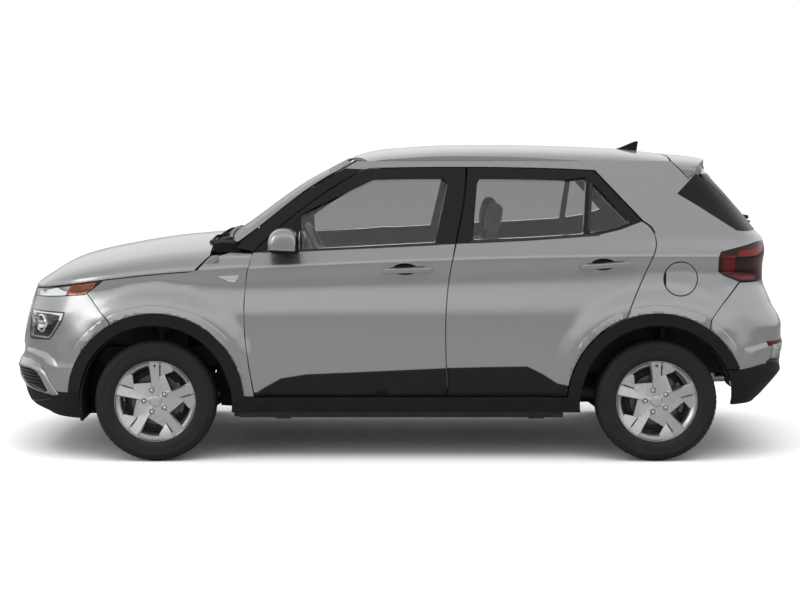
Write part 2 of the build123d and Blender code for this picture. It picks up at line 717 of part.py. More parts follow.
def wheel(x, y, side):
    """Cast wheel: barrel, dished face with five bars and paddles, hub with its stud holes."""
    half = RIM_WIDTH / 2
    lip = RIM_RADIUS
    barrel = make_face(Polyline(
        (lip, half), (lip, half - 9), (lip - 8, half - 11), (lip - 14, half - 30),
        (lip - 26, half - 50), (lip - 26, 40 - half), (lip - 8, 11 - half), (lip, 9 - half),
        (lip, -half), (lip - 8, -half), (lip - 33, 30 - half), (lip - 33, half - 44),
        (lip - 16, half - 20), (lip - 12, half - 2), close=True))
    rim = revolve(barrel, axis=Axis.Y)
    dish = make_face(Polyline((0, 62), (HUB_RADIUS, 60), (125, 60), (lip - 22, 66),
                              (lip - 12, 66), (lip - 22, 40), (120, 40), (HUB_RADIUS, 28),
                              (0, 28), close=True))
    face = revolve(dish, axis=Axis.Y)
    turn = 360 / STUD_COUNT
    for k in range(STUD_COUNT):
        a = turn * k
        opening = spoke_face((139, a + 20), (178, a + 33), (174, a + 62), (94, a + 59), radius=7)
        bar = spoke_face((60, a - 14), (96, a - 12), (190, a - 9), (190, a + 6), (124, a + 8),
                         (60, a + 4), radius=3)
        paddle = spoke_face((126, a + 12), (190, a + 9.5), (190, a + 28), (172, a + 30), radius=3)
        face += extrude(Plane.XZ * bar, amount=-75) - extrude(Plane.XZ * bar, amount=-40)
        face += extrude(Plane.XZ * paddle, amount=-73) - extrude(Plane.XZ * paddle, amount=-40)
        face -= extrude(Plane.XZ * opening, amount=200, both=True)
        seat = Pos(*clock(STUD_CIRCLE / 2, a - 20)) * Circle(STUD_HOLE / 2 + 8)
        face -= extrude(Plane.XZ * seat, amount=200, both=True) & block(-90, 90, 48, 100, -90, 90)
        hole = Pos(*clock(STUD_CIRCLE / 2, a - 20)) * Circle(STUD_HOLE / 2)
        face -= extrude(Plane.XZ * hole, amount=200, both=True)
    disc = Rot(-90, 0, 0) * Cylinder(128, 22)
    hat = Rot(-90, 0, 0) * Cylinder(70, 44)
    body = rim + face + Pos(0, 6, 0) * disc + Pos(0, 24, 0) * hat
    if side < 0:
        body = Rot(0, 0, 180) * body
    return Pos(x, y, TYRE_RADIUS) * body


def clock(radius, angle):
    """Point of the right-hand wheel's plane, by its angle clockwise from the top, from outside."""
    return -radius * sin(radians(angle)), radius * cos(radians(angle))


def knuckle():
    """Right front knuckle: hub carrier, ball joint, strut and spring, caliper."""
    y = TRACK / 2
    carrier = tube((FRONT_AXLE_X, y - 12, TYRE_RADIUS), (FRONT_AXLE_X, y - 92, TYRE_RADIUS), 52)
    lower = tube(BALL_JOINT, (FRONT_AXLE_X, 700, TYRE_RADIUS), 24)
    strut_low = Vector(*BALL_JOINT) + (Vector(*STRUT_TOP) - Vector(*BALL_JOINT)) * 0.28
    arm = tube((FRONT_AXLE_X, 695, TYRE_RADIUS), tuple(strut_low), 28)
    strut = tube(tuple(strut_low), STRUT_TOP, 24)
    seat = Vector(*BALL_JOINT) + (Vector(*STRUT_TOP) - Vector(*BALL_JOINT)) * 0.68
    spring = tube(tuple(seat), STRUT_TOP, 50)
    caliper = block(FRONT_AXLE_X + 70, FRONT_AXLE_X + 138, y - 40, y - 12, 250, 360)
    bracket = block(FRONT_AXLE_X + 30, FRONT_AXLE_X + 120, y - 62, y - 30, 280, 330)
    return carrier + lower + arm + strut + spring + bracket + caliper


def rear_axle():
    """Twist beam with its arms, stub axles, springs and dampers."""
    y = TRACK / 2
    x = REAR_AXLE_X
    out = block(x - 190, x - 110, -590, 590, 262, 322)
    for sign in (-1, 1):
        out += tube((930, sign * 575, 320), (x, sign * 615, TYRE_RADIUS), 30)
        out += tube((930, sign * 530, 320), (930, sign * 620, 320), 40)
        out += tube((x, sign * 560, TYRE_RADIUS), (x, sign * (y - 12), TYRE_RADIUS), 34)
        out += tube((x + 40, sign * 600, 300), (x + 60, sign * 590, 660), 24)
        out += tube((x - 150, sign * 470, 300), (x - 150, sign * 470, 404), 50)
    return out


def subframe():
    """Front cross member with its two lower arms and the steering rack."""
    x = FRONT_AXLE_X
    out = block(x + 40, x + 190, -360, 360, 190, 250)
    for sign in (-1, 1):
        out += tube((x + 120, sign * 340, 222), (x - 8, sign * 668, 170), 22)
        out += tube((x - 60, sign * 380, 222), (x - 8, sign * 668, 170), 20)
        out += block(x - 90, x + 60, sign * 380 - 30, sign * 380 + 30, 195, 245)
        out += tube((x - 8, sign * 668, 170), (x - 8, sign * 716, 170), 16)
    out += tube((x + 150, -350, 275), (x + 150, 350, 275), 26)
    return out


def floor_pan():
    """Floor, tunnel, boot floor, rear wheel houses and the jacking pads."""
    half = 668
    out = block(-770, 885, -half, half, 196, 226)
    out += block(-770, 870, -110, 110, 226, 330)
    out += block(850, 885, -half, half, 226, 440)
    out += block(850, 1900, -515, 515, 410, 440)
    out += block(1870, 1900, -515, 515, 410, 700)
    for x, y in JACK_PLACES:
        out += block(x - 40, x + 40, y - 30, y + 30, JACK_Z, 200)
    x = REAR_AXLE_X
    for sign in (-1, 1):
        wall = Pos(x, TYRE_RADIUS) * (Circle(404) - Pos(0, -250) * Rectangle(1000, 700))
        house = Pos(x, TYRE_RADIUS) * (Circle(404) - Circle(396) - Pos(0, -250) * Rectangle(1000, 700))
        out += side_prism(wall, *sorted((sign * 500, sign * 516)))
        out += side_prism(house, *sorted((sign * 516, sign * 700)))
    return out


def front_frame():
    """Firewall, the two front rails, the strut towers and the bumper beam."""
    out = block(-800, -770.5, -640, 640, 196, 1040)
    for sign in (-1, 1):
        rail = sorted((sign * 402, sign * 478))
        tower = sorted((sign * 450, sign * 490))
        cap = sorted((sign * 450, sign * 690))
        out += block(-1830, -790, *rail, 440, 540)
        out += block(-1330, -1050, *tower, 500, 870)
        out += block(-1300, -1040, *cap, 850, 870)
    return out + block(-1852, -1828, -400, 400, 430, 550) + block(-1832, -1822, -470, 470, 440, 540)


def liners():
    """Curved liners over the four wheels; the front ones close the space behind the bumper."""
    out = []
    for axle in (FRONT_AXLE_X, REAR_AXLE_X):
        ring = wheel_circle(axle, ARCH_RADIUS - 6) - wheel_circle(axle, ARCH_RADIUS - 12)
        over = make_face(Polyline((axle - 420, 380), (axle + 420, 380), (axle + 420, 720),
                                  (axle - 420, 720), close=True))
        out.append(side_prism(ring & over, -838, -700))
        if axle < 0:
            ahead = make_face(Polyline((axle - 420, LINER_Z), (axle - 200, LINER_Z),
                                       (axle - 200, 700), (axle - 420, 700), close=True))
            out[-1] += side_prism(ring & ahead, -838, -520)
    return [side for liner in out for side in both_sides(liner)]


def seats():
    """Front seats and rear bench, each a cushion, a back and head restraints."""
    front = block(-190, 330, -600, -110, 330, 500)
    back = side_prism([(260, 440), (390, 440), (560, 1080), (450, 1100)], -590, -120)
    head = side_prism([(478, 1120), (560, 1105), (600, 1280), (520, 1300)], -470, -240)
    stem = tube((510, -350, 1060), (540, -350, 1150), 12)
    one = front + back + head + stem
    bench = block(740, 945, -610, 610, 446, 590) + block(940, 1240, -490, 490, 446, 590)
    bench += side_prism([(1160, 560), (1270, 560), (1308, 730), (1200, 730)], -490, 490)
    bench += side_prism([(1200, 730), (1308, 730), (1400, 1080), (1310, 1090)], -590, 590)
    for y in (-330, 330):
        bench += side_prism([(1330, 1075), (1400, 1070), (1420, 1200), (1360, 1210)], y - 120, y + 120)
    return both_sides(one), bench


def dashboard():
    shell = side_prism([(-768, 800), (-768, 1010), (-600, 1055), (-470, 1040), (-430, 980),
                        (-480, 860), (-560, 720), (-700, 700)], -650, 650)
    console = block(-620, 380, -100, 100, 332, 560) + block(-700, -560, -100, 100, 332, 760)
    column = tube((-560, -370, 905), (-385, -370, 990), 32)
    return shell + console + column


def steering_wheel():
    plane = Plane(origin=WHEEL_HUB, z_dir=(cos(radians(WHEEL_TILT)), 0, sin(radians(WHEEL_TILT))))
    rim = plane * Torus(178, 14)
    boss = plane * Cylinder(62, 50)
    spokes = plane * Box(330, 34, 16)
    return rim + boss + spokes


def exhaust():
    """Pipe under the floor and the silencer behind the rear axle."""
    run = [(-950, 150, 212), (-822, 150, 164), (890, 150, 164), (1560, 330, 232)]
    out = None
    for p, q in zip(run, run[1:]):
        pipe = tube(p, q, PIPE_RADIUS) + Pos(*q) * Sphere(PIPE_RADIUS)
        out = pipe if out is None else out + pipe
    out += block(1520, 1800, 240, 480, 210, 330)
    return out + tube(*TAIL_PIPE, PIPE_RADIUS)


def antenna():
    """Shark-fin aerial on the roof."""
    base = blend(ROOF_CREST, 1270)
    fin = side_prism([(1185, base - 4), (1240, base + 14), (1300, base + 40), (1322, base + 47),
                      (1330, base + 44), (1322, base - 12)], -16, 16)
    return largest(fin - roof_slab(1100, ROOF_REAR_X, -0.3, 60))


def door_mirror():
    """Left door mirror: a rounded housing and its foot on the door."""
    housing = smooth_face([(-603, 1082), (-594, 1140), (-560, 1172), (-500, 1176), (-468, 1150)],
                          [(-456, 1060), (-500, 1046), (-570, 1050)])
    body = side_prism(housing, -985, -838)
    body = fillet(body.edges(), 22)
    foot = side_prism([(-520, 1052), (-452, 1056), (-452, 1120), (-500, 1100)], -850, -796)
    return largest(body + foot - body_slab(stations(12, 20), 1020, 1150, -0.3, 120))


def save_all():
    hood_solid = hood()
    save("hood", hood_solid)
    front, rear, pane, rear_panes = doors()
    for side, name in ((lambda s: s, "left"), (to_right, "right")):
        save("front_door_" + name, side(front))
        save("rear_door_" + name, side(rear))
        save("front_glass_" + name, side(pane))
        save("rear_glass_" + name, *[side(p) for p in rear_panes])
    save("front_fenders", *both_sides(fender()))
    save("headlamps", *front_lamps())
    bumper, lip = front_bumper()
    save("front_bumper", bumper)
    save("front_lip", lip)
    save("grille", *grille())
    save("wheel_arch_trim", *both_sides(arch_trim()))
    side_panel = body_side()
    save("body_side_left", side_panel)
    save("body_side_right", to_right(side_panel))
    save("roof_panel", roof())
    save("windshield", windshield())
    save("cowl", cowl())
    gate, gate_glass = tailgate()
    save("tailgate", gate)
    save("tailgate_glass", gate_glass)
    bumper, valance = rear_bumper()
    save("rear_bumper", bumper)
    save("rear_valance", valance)
    save("tail_lamps", *tail_lamps())
    for end, x in (("front", FRONT_AXLE_X), ("rear", REAR_AXLE_X)):
        for name, sign in (("left", -1), ("right", 1)):
            save(f"tyre_{end}_{name}", tyre(x, sign * TRACK / 2))
            save(f"wheel_{end}_{name}", wheel(x, sign * TRACK / 2, sign))
    save("knuckle_right", knuckle())
    save("knuckle_left", to_right(knuckle()))
    save("rear_axle", rear_axle())
    save("front_subframe", subframe())
    save("floor_pan", floor_pan())
    save("front_frame", front_frame())
    save("wheel_liners", *liners())
    save("engine_block", block(-1600, -1240, -360, 330, 300, 880))
    save("radiator", block(-1790, -1740, -380, 380, 260, 770))
    save("fuel_tank", block(900, 1110, -420, 420, 240, 402))
    save("exhaust", exhaust())
    save("roof_antenna", antenna())
    save("fuel_flap", fuel_flap())
    save("mirror_left", door_mirror())
    save("mirror_right", to_right(door_mirror()))
    save("dashboard", dashboard())
    save("steering_wheel", steering_wheel())
    front_seats, bench = seats()
    save("front_seats", *front_seats)
    save("rear_seat", bench)


save_all()
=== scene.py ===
import json
import math

import bmesh
import bpy
from mathutils import Matrix, Vector
from mathutils.bvhtree import BVHTree
from mathutils.geometry import delaunay_2d_cdt


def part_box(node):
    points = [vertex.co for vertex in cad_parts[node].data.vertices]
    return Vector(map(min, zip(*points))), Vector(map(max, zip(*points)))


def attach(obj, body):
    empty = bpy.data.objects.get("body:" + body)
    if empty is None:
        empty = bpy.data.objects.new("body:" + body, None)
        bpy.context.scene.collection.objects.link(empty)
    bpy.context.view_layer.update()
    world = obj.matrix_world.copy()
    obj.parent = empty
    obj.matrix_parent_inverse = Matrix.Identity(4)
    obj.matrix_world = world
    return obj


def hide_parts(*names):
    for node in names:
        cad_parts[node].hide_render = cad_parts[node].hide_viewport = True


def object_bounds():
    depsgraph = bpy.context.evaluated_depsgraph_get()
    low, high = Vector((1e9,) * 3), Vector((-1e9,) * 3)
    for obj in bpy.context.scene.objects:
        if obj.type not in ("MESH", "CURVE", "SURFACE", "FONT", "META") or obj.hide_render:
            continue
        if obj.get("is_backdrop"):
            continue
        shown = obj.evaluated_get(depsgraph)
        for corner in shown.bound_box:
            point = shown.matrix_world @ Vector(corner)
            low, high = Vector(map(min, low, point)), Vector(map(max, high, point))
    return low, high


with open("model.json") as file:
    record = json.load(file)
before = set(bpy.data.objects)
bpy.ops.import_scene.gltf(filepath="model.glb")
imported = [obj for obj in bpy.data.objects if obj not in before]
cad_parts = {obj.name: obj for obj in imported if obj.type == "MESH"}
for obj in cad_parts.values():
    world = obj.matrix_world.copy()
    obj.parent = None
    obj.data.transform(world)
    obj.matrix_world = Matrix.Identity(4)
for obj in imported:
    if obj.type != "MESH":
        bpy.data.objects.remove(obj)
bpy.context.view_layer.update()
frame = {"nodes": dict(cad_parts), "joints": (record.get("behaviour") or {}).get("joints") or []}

# --- sizes from the frame, and the few that several pieces share
JOINTS = {joint["name"]: joint for joint in frame["joints"]}
FRONT_HUB = Vector(JOINTS["spin_front_left"]["pos_m"])
REAR_HUB = Vector(JOINTS["spin_rear_left"]["pos_m"])
HAND_WHEEL = Vector(JOINTS["steering_wheel_turn"]["pos_m"])
TYRE_LOW, TYRE_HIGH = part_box("tyre_front_left")
TYRE_RADIUS = (TYRE_HIGH.z - TYRE_LOW.z) / 2
TYRE_HALF = (TYRE_HIGH.y - TYRE_LOW.y) / 2
TREAD_RADIUS, TREAD_HALF = 0.3060, 0.0925
if max(abs(TYRE_RADIUS - TREAD_RADIUS), abs(TYRE_HALF - TREAD_HALF)) > 0.002:
    print("the tread's profile was drawn for another size of tyre")
STUD_RADIUS = 0.05715
SPOKES = 5
SPOKE_TURN = 360 / SPOKES
WELD = 0.00005  # points nearer than this are one
ON_PLANE = 1e-6
NEAR_AXIS = 0.0001  # a turned shape's points on its axis
MIDDLE = 0.036  # from the outlines' zero back to the frame's
LEFT, RIGHT = -1, 1
SHELL = "body_shell"
SIDE_NAMES = {LEFT: "left", RIGHT: "right"}


def side_view(*points):
    """Side-view points (x, z) in millimetres from the outlines' zero, as metres."""
    return [(x / 1000 - MIDDLE, z / 1000) for x, z in points]


def end_view(*points):
    """Front-view or rear-view points (y, z) in millimetres, as metres."""
    return [(y / 1000, z / 1000) for y, z in points]


def at(x, y, z):
    """Point in millimetres from the outlines' zero, as metres."""
    return Vector((x / 1000 - MIDDLE, y / 1000, z / 1000))


# --- shader node groups: effects that several finishes share
def effect(name, inputs, outputs):
    """Empty shader group with float inputs (name, value) and outputs (name, kind)."""
    group = bpy.data.node_groups.new(name, "ShaderNodeTree")
    for label, value in inputs:
        socket = group.interface.new_socket(label, in_out="INPUT", socket_type="NodeSocketFloat")
        socket.default_value = value
    for label, kind in outputs:
        group.interface.new_socket(label, in_out="OUTPUT", socket_type="NodeSocket" + kind)
    start = group.nodes.new("NodeGroupInput")
    end = group.nodes.new("NodeGroupOutput")
    return group, start, end


def add(tree, kind, settings=None, **inputs):
    """New shader node with its settings; inputs are values or sockets, by name or as _0, _1."""
    node = tree.nodes.new("ShaderNode" + kind)
    for key, value in (settings or {}).items():
        setattr(node, key, value)
    for label, value in inputs.items():
        key = int(label[1:]) if label[0] == "_" else label.replace("_", " ")
        socket = node.inputs[key]
        if isinstance(value, bpy.types.NodeSocket):
            tree.links.new(value, socket)
        else:
            socket.default_value = value
    return node


def math_node(tree, operation, first, second=0.0, clamp=False):
    return add(tree, "Math", {"operation": operation, "use_clamp": clamp}, _0=first,
               _1=second).outputs[0]


def grain_effect():
    """Moulded grain: pebbled height, and a roughness that wanders a little."""
    group, start, end = effect("moulded grain", [("Size", 900), ("Rough", 0.5), ("Spread", 0.1)],
                               [("Height", "Float"), ("Roughness", "Float")])
    place = add(group, "TexCoord").outputs["Object"]
    pebbles = add(group, "TexVoronoi", Vector=place, Scale=start.outputs["Size"])
    haze = add(group, "TexNoise", Vector=place, Scale=6.0, Detail=4.0)
    drift = math_node(group, "SUBTRACT", haze.outputs["Fac"], 0.5)
    spread = math_node(group, "MULTIPLY", drift, start.outputs["Spread"])
    group.links.new(pebbles.outputs["Distance"], end.inputs["Height"])
    group.links.new(math_node(group, "ADD", spread, start.outputs["Rough"]),
                    end.inputs["Roughness"])
    return group


def dust_effect():
    """Road dust: a mask that is strongest near the ground and breaks up in patches."""
    group, start, end = effect("road dust", [("Top", 0.6), ("Amount", 0.5)], [("Mask", "Float")])
    place = add(group, "TexCoord").outputs["Object"]
    height = add(group, "SeparateXYZ", Vector=place).outputs["Z"]
    fade = add(group, "MapRange", Value=height, From_Min=start.outputs["Top"], From_Max=0.05)
    cloud = add(group, "TexNoise", Vector=place, Scale=9.0, Detail=7.0, Roughness=0.65)
    patch = math_node(group, "MULTIPLY", fade.outputs[0], cloud.outputs["Fac"])
    mask = math_node(group, "MULTIPLY", patch, start.outputs["Amount"], True)
    group.links.new(mask, end.inputs["Mask"])
    return group


def inside_effect():
    """Mask of the surfaces that face the cabin: towards the centre line, or down from the roof."""
    group, start, end = effect("cabin side", [("Roof", 1.3)], [("Mask", "Float")])
    geometry = add(group, "NewGeometry")
    normal = add(group, "SeparateXYZ", Vector=geometry.outputs["Normal"])
    place = add(group, "SeparateXYZ", Vector=add(group, "TexCoord").outputs["Object"])
    facing = math_node(group, "MULTIPLY", normal.outputs["Y"], place.outputs["Y"])
    inward = math_node(group, "LESS_THAN", facing, -0.12)
    down = math_node(group, "LESS_THAN", normal.outputs["Z"], -0.3)
    high = math_node(group, "GREATER_THAN", place.outputs["Z"], start.outputs["Roof"])
    under = math_node(group, "MULTIPLY", down, high)
    group.links.new(math_node(group, "MAXIMUM", inward, under), end.inputs["Mask"])
    return group


GRAIN = grain_effect()
DUST = dust_effect()
INSIDE = inside_effect()


def use_group(tree, group, **inputs):
    node = tree.nodes.new("ShaderNodeGroup")
    node.node_tree = group
    for label, value in inputs.items():
        node.inputs[label].default_value = value
    return node


def finish_material(name, color, rough=0.5, metal=0.0, **sockets):
    """Principled material; returns it with its node tree and shader."""
    mat = bpy.data.materials.new(name)
    mat.use_nodes = True
    shader = mat.node_tree.nodes["Principled BSDF"]
    shader.inputs["Base Color"].default_value = (*color, 1)
    shader.inputs["Roughness"].default_value = rough
    shader.inputs["Metallic"].default_value = metal
    for label, value in sockets.items():
        shader.inputs[label.replace("_", " ")].default_value = value
    return mat, mat.node_tree, shader


def feed(tree, shader, **outputs):
    """Links outputs of other nodes to the shader's inputs."""
    for label, socket in outputs.items():
        tree.links.new(socket, shader.inputs[label.replace("_", " ")])


def object_place(tree):
    return add(tree, "TexCoord").outputs["Object"]


def bump(tree, shader, height, distance, strength=1.0):
    node = add(tree, "Bump", Height=height, Distance=distance, Strength=strength)
    feed(tree, shader, Normal=node.outputs["Normal"])


def mix_color(tree, mask, first, second):
    return add(tree, "MixRGB", Fac=mask, Color1=first, Color2=second).outputs["Color"]


def silver_paint():
    """Silver metallic lacquer with fine flakes; the sides that face the cabin are grey trim."""
    mat, tree, shader = finish_material("silver paint", (0.38, 0.385, 0.39), 0.27, 0.85,
                                        Coat_Weight=0.6, Coat_Roughness=0.05)
    place = object_place(tree)
    flakes = add(tree, "TexVoronoi", Vector=place, Scale=2600.0)
    shade = add(tree, "ValToRGB", Fac=flakes.outputs["Color"])
    shade.color_ramp.elements[0].color = (0.32, 0.324, 0.328, 1)
    shade.color_ramp.elements[1].color = (0.43, 0.435, 0.44, 1)
    dust = use_group(tree, DUST, Top=0.75, Amount=0.25)
    dusty = mix_color(tree, dust.outputs["Mask"], shade.outputs["Color"], (0.30, 0.29, 0.27, 1))
    inside = use_group(tree, INSIDE, Roof=1.25).outputs["Mask"]
    trimmed = mix_color(tree, inside, dusty, (0.10, 0.10, 0.103, 1))
    feed(tree, shader, Base_Color=trimmed)
    outside = math_node(tree, "SUBTRACT", 1.0, inside)
    feed(tree, shader, Metallic=math_node(tree, "MULTIPLY", outside, 0.85))
    feed(tree, shader, Coat_Weight=math_node(tree, "MULTIPLY", outside, 0.6))
    rough = add(tree, "MapRange", Value=inside, To_Min=0.27, To_Max=0.75)
    feed(tree, shader, Roughness=rough.outputs[0])
    peel = add(tree, "TexNoise", Vector=place, Scale=220.0, Detail=2.0)
    bump(tree, shader, peel.outputs["Fac"], 0.00003)
    return mat


def grained_plastic(name, color, rough, size=900.0, depth=0.00012, dusty=0.3, **sockets):
    mat, tree, shader = finish_material(name, color, rough, **sockets)
    grain = use_group(tree, GRAIN, Size=size, Rough=rough, Spread=0.18)
    feed(tree, shader, Roughness=grain.outputs["Roughness"])
    dust = use_group(tree, DUST, Top=0.8, Amount=dusty)
    color = mix_color(tree, dust.outputs["Mask"], (*color, 1), (0.20, 0.19, 0.17, 1))
    feed(tree, shader, Base_Color=color)
    bump(tree, shader, grain.outputs["Height"], depth)
    return mat


def window_glass(name, tint, rough=0.0, haze=0.0003, bend=1.45):
    """Glass whose roughness has a faint wiped haze."""
    mat, tree, shader = finish_material(name, tint, rough, 0.0, Transmission_Weight=1.0, IOR=bend)
    place = object_place(tree)
    wiped = add(tree, "TexNoise", Vector=place, Scale=3.0, Detail=3.0)
    film = add(tree, "MapRange", Value=wiped.outputs["Fac"], From_Min=0.45, From_Max=0.8,
               To_Min=rough, To_Max=rough + haze)
    feed(tree, shader, Roughness=film.outputs[0])
    return mat


def metal(name, color, rough, size=40.0, spread=0.2, depth=0.0002):
    mat, tree, shader = finish_material(name, color, rough, 1.0)
    grain = use_group(tree, GRAIN, Size=size, Rough=rough, Spread=spread)
    feed(tree, shader, Roughness=grain.outputs["Roughness"])
    bump(tree, shader, grain.outputs["Height"], depth, 0.3)
    return mat


def alloy_paint():
    """Silver wheel lacquer with brake dust in patches."""
    mat, tree, shader = finish_material("silver alloy", (0.58, 0.585, 0.59), 0.24, 0.95,
                                        Coat_Weight=0.5, Coat_Roughness=0.1)
    place = object_place(tree)
    speck = add(tree, "TexNoise", Vector=place, Scale=60.0, Detail=8.0, Roughness=0.7)
    grime = add(tree, "MapRange", Value=speck.outputs["Fac"], From_Min=0.5, From_Max=0.78,
                To_Max=0.5)
    color = mix_color(tree, grime.outputs[0], (0.58, 0.585, 0.59, 1), (0.26, 0.255, 0.25, 1))
    feed(tree, shader, Base_Color=color)
    rough = add(tree, "MapRange", Value=speck.outputs["Fac"], To_Min=0.24, To_Max=0.42)
    feed(tree, shader, Roughness=rough.outputs[0])
    return mat


def machined_iron():
    """Brake disc: dark iron with a faint cloudy tone."""
    # the iron is much darker than bare iron: painted shade for the disc seen between the spokes
    mat, tree, shader = finish_material("machined iron with painted shade", (0.12, 0.115, 0.11), 0.4, 1.0)
    place = object_place(tree)
    cloud = add(tree, "TexNoise", Vector=place, Scale=300.0, Detail=3.0)
    color = mix_color(tree, cloud.outputs["Fac"], (0.08, 0.076, 0.074, 1), (0.15, 0.145, 0.14, 1))
    feed(tree, shader, Base_Color=color)
    bump(tree, shader, cloud.outputs["Fac"], 0.0001)
    return mat


def woven_cloth(name, color, size=1600.0):
    """Seat cloth: two crossing sets of threads."""
    mat, tree, shader = finish_material(name, color, 0.9, Sheen_Weight=0.3, Sheen_Roughness=0.5)
    place = object_place(tree)
    warp = add(tree, "TexWave", {"bands_direction": "X"}, Vector=place, Scale=size / 6,
               Distortion=0.4)
    weft = add(tree, "TexWave", {"bands_direction": "Z"}, Vector=place, Scale=size / 6,
               Distortion=0.4)
    threads = math_node(tree, "MAXIMUM", warp.outputs["Fac"], weft.outputs["Fac"])
    dark = tuple(c * 0.6 for c in color)
    feed(tree, shader, Base_Color=mix_color(tree, threads, (*dark, 1), (*color, 1)))
    bump(tree, shader, threads, 0.0003)
    return mat


PAINT = silver_paint()
TRIM = grained_plastic("black grained plastic", (0.009, 0.009, 0.0095), rough=0.62, dusty=0.08,
                       Specular_IOR_Level=0.15)
SATIN = grained_plastic("satin black", (0.012, 0.012, 0.013), rough=0.32, size=2500.0,
                        depth=0.00002, dusty=0.05, Specular_IOR_Level=0.35)
PILLAR = grained_plastic("black pillar lacquer", (0.007, 0.007, 0.0073), rough=0.28, size=2500.0,
                         depth=0.00001, dusty=0.0, Specular_IOR_Level=0.2, Coat_Weight=0.08,
                         Coat_Roughness=0.08)
STEEL = grained_plastic("black chassis steel", (0.012, 0.012, 0.012), rough=0.5, size=120.0,
                        depth=0.0003, dusty=0.5, Specular_IOR_Level=0.25)
CABIN = grained_plastic("cabin plastic", (0.07, 0.072, 0.075), rough=0.6, size=1400.0, depth=0.0001,
                        dusty=0.0)
# the leather's light grey is partly a painted sheen: it stands in for reflections on the steering
# wheel
PAINTED_SHEEN_LEATHER = grained_plastic("grey wheel leather", (0.16, 0.165, 0.17), rough=0.45, size=700.0,
                          depth=0.0002, dusty=0.0)
CLOTH = woven_cloth("seat cloth", (0.075, 0.078, 0.083))
RUBBER = grained_plastic("tyre rubber", (0.011, 0.011, 0.0115), rough=0.68, size=500.0,
                         depth=0.0002, dusty=0.1, Specular_IOR_Level=0.2)
SEAL = grained_plastic("rubber seal", (0.012, 0.012, 0.012), rough=0.55, size=1500.0, depth=0.00005,
                       dusty=0.1)
GLASS = window_glass("tinted glass", (0.91, 0.92, 0.92), bend=1.3)
# the windshield's dark tint is painted shade: it stands in for the dark cabin seen through it
SHADED_SCREEN = window_glass("windshield glass with painted shade", (0.27, 0.275, 0.28), bend=1.06)
# the rear glass's dark tint is also painted shade for the cabin behind it
SHADED_REAR_GLASS = window_glass("rear glass with painted shade", (0.40, 0.41, 0.42), bend=1.3)
CLEAR = window_glass("clear lens", (0.96, 0.97, 0.97))
RED = window_glass("red lens", (0.42, 0.006, 0.008), rough=0.02, haze=0.02)
AMBER = window_glass("amber lens", (0.90, 0.32, 0.06), rough=0.03, haze=0.03)
ALLOY = alloy_paint()
IRON = metal("cast iron", (0.12, 0.11, 0.11), rough=0.55)
BARE = metal("bare metal", (0.42, 0.42, 0.41), rough=0.38)
CHROME = metal("bright chrome", (0.85, 0.86, 0.87), rough=0.06, size=300.0, spread=0.04,
               depth=0.00002)
ZINC = metal("zinc plating", (0.55, 0.55, 0.54), rough=0.25, size=200.0, spread=0.2, depth=0.00005)
SHADED_DISC = machined_iron()

SLOT_FINISH = {
    "silver_paint": PAINT, "black_plastic": TRIM, "black_steel": STEEL, "cast_metal": IRON,
    "bare_metal": BARE, "silver_alloy": ALLOY, "tyre_rubber": RUBBER, "tinted_glass": GLASS,
    "clear_lens": CLEAR, "red_lens": RED, "cabin_plastic": CABIN, "seat_fabric": CLOTH,
}
for node in frame["nodes"].values():
    for place in node.material_slots:
        place.material = SLOT_FINISH[place.material.name.split(".")[0]]
frame["nodes"]["windshield"].material_slots[0].material = SHADED_SCREEN
frame["nodes"]["tailgate_glass"].material_slots[0].material = SHADED_REAR_GLASS


# finishes, each paired with the name of a slot
PAINTED = PAINT, "silver_paint"
GRAINED = TRIM, "black_plastic"
LACQUERED = PILLAR, "black_plastic"
INNER = CABIN, "cabin_plastic"
INNER_SATIN = SATIN, "cabin_plastic"
INNER_LEATHER = PAINTED_SHEEN_LEATHER, "cabin_plastic"


# --- making pieces
def new_object(name, data):
    thing = bpy.data.objects.new(name, data)
    bpy.context.scene.collection.objects.link(thing)
    return thing


def outward_mesh(name, points, faces, checked=True):
    """Mesh in metres whose faces point outward."""
    mesh = bpy.data.meshes.new(name)
    mesh.from_pydata([tuple(p) for p in points], [], [tuple(f) for f in faces])
    if checked:
        mesh.validate()
    tidy = bmesh.new()
    tidy.from_mesh(mesh)
    bmesh.ops.recalc_face_normals(tidy, faces=tidy.faces)
    tidy.to_mesh(mesh)
    tidy.free()
    return mesh


def piece(name, points, faces, body, finish, slot=None, sharp=35):
    """Mesh object in metres that rides on a body; edges sharper than the angle stay crisp."""
    mesh = outward_mesh(name, points, faces)
    mesh.shade_smooth()
    mesh.set_sharp_from_angle(angle=math.radians(sharp))
    thing = new_object(name, mesh)
    mesh.materials.append(finish)
    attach(thing, body)
    return thing


def soften(thing, width, segments=2, angle=35):
    """Rounds the piece's edges."""
    mod = thing.modifiers.new("rounded edges", "BEVEL")
    mod.width, mod.segments = width, segments
    mod.limit_method, mod.angle_limit = "ANGLE", math.radians(angle)
    mod.harden_normals = True
    return thing


def mirrored(points):
    return [(p[0], -p[1], p[2]) for p in points]


def pair(name, points, faces, bodies, finish, slot=None, sharp=35):
    """A left-hand piece and its mirror image, on their own bodies."""
    out = []
    for side in (LEFT, RIGHT):
        body = bodies.format(SIDE_NAMES[side])
        places = points if side == LEFT else mirrored(points)
        out.append(piece(f"{name}_{SIDE_NAMES[side]}", places, faces, body, finish, slot, sharp))
    return out


def quads(rows, n, around=False):
    """Faces between neighbouring closed rows of n points; around also joins last row and first."""
    faces = []
    for k in range(rows if around else rows - 1):
        here, after = k * n, (k + 1) % rows * n
        for i, j in zip(range(n), (*range(1, n), 0)):
            faces.append((here + i, here + j, after + j, after + i))
    return faces


def end_caps(rows, n):
    return [tuple(range(n)), tuple((rows - 1) * n + i for i in range(n))]


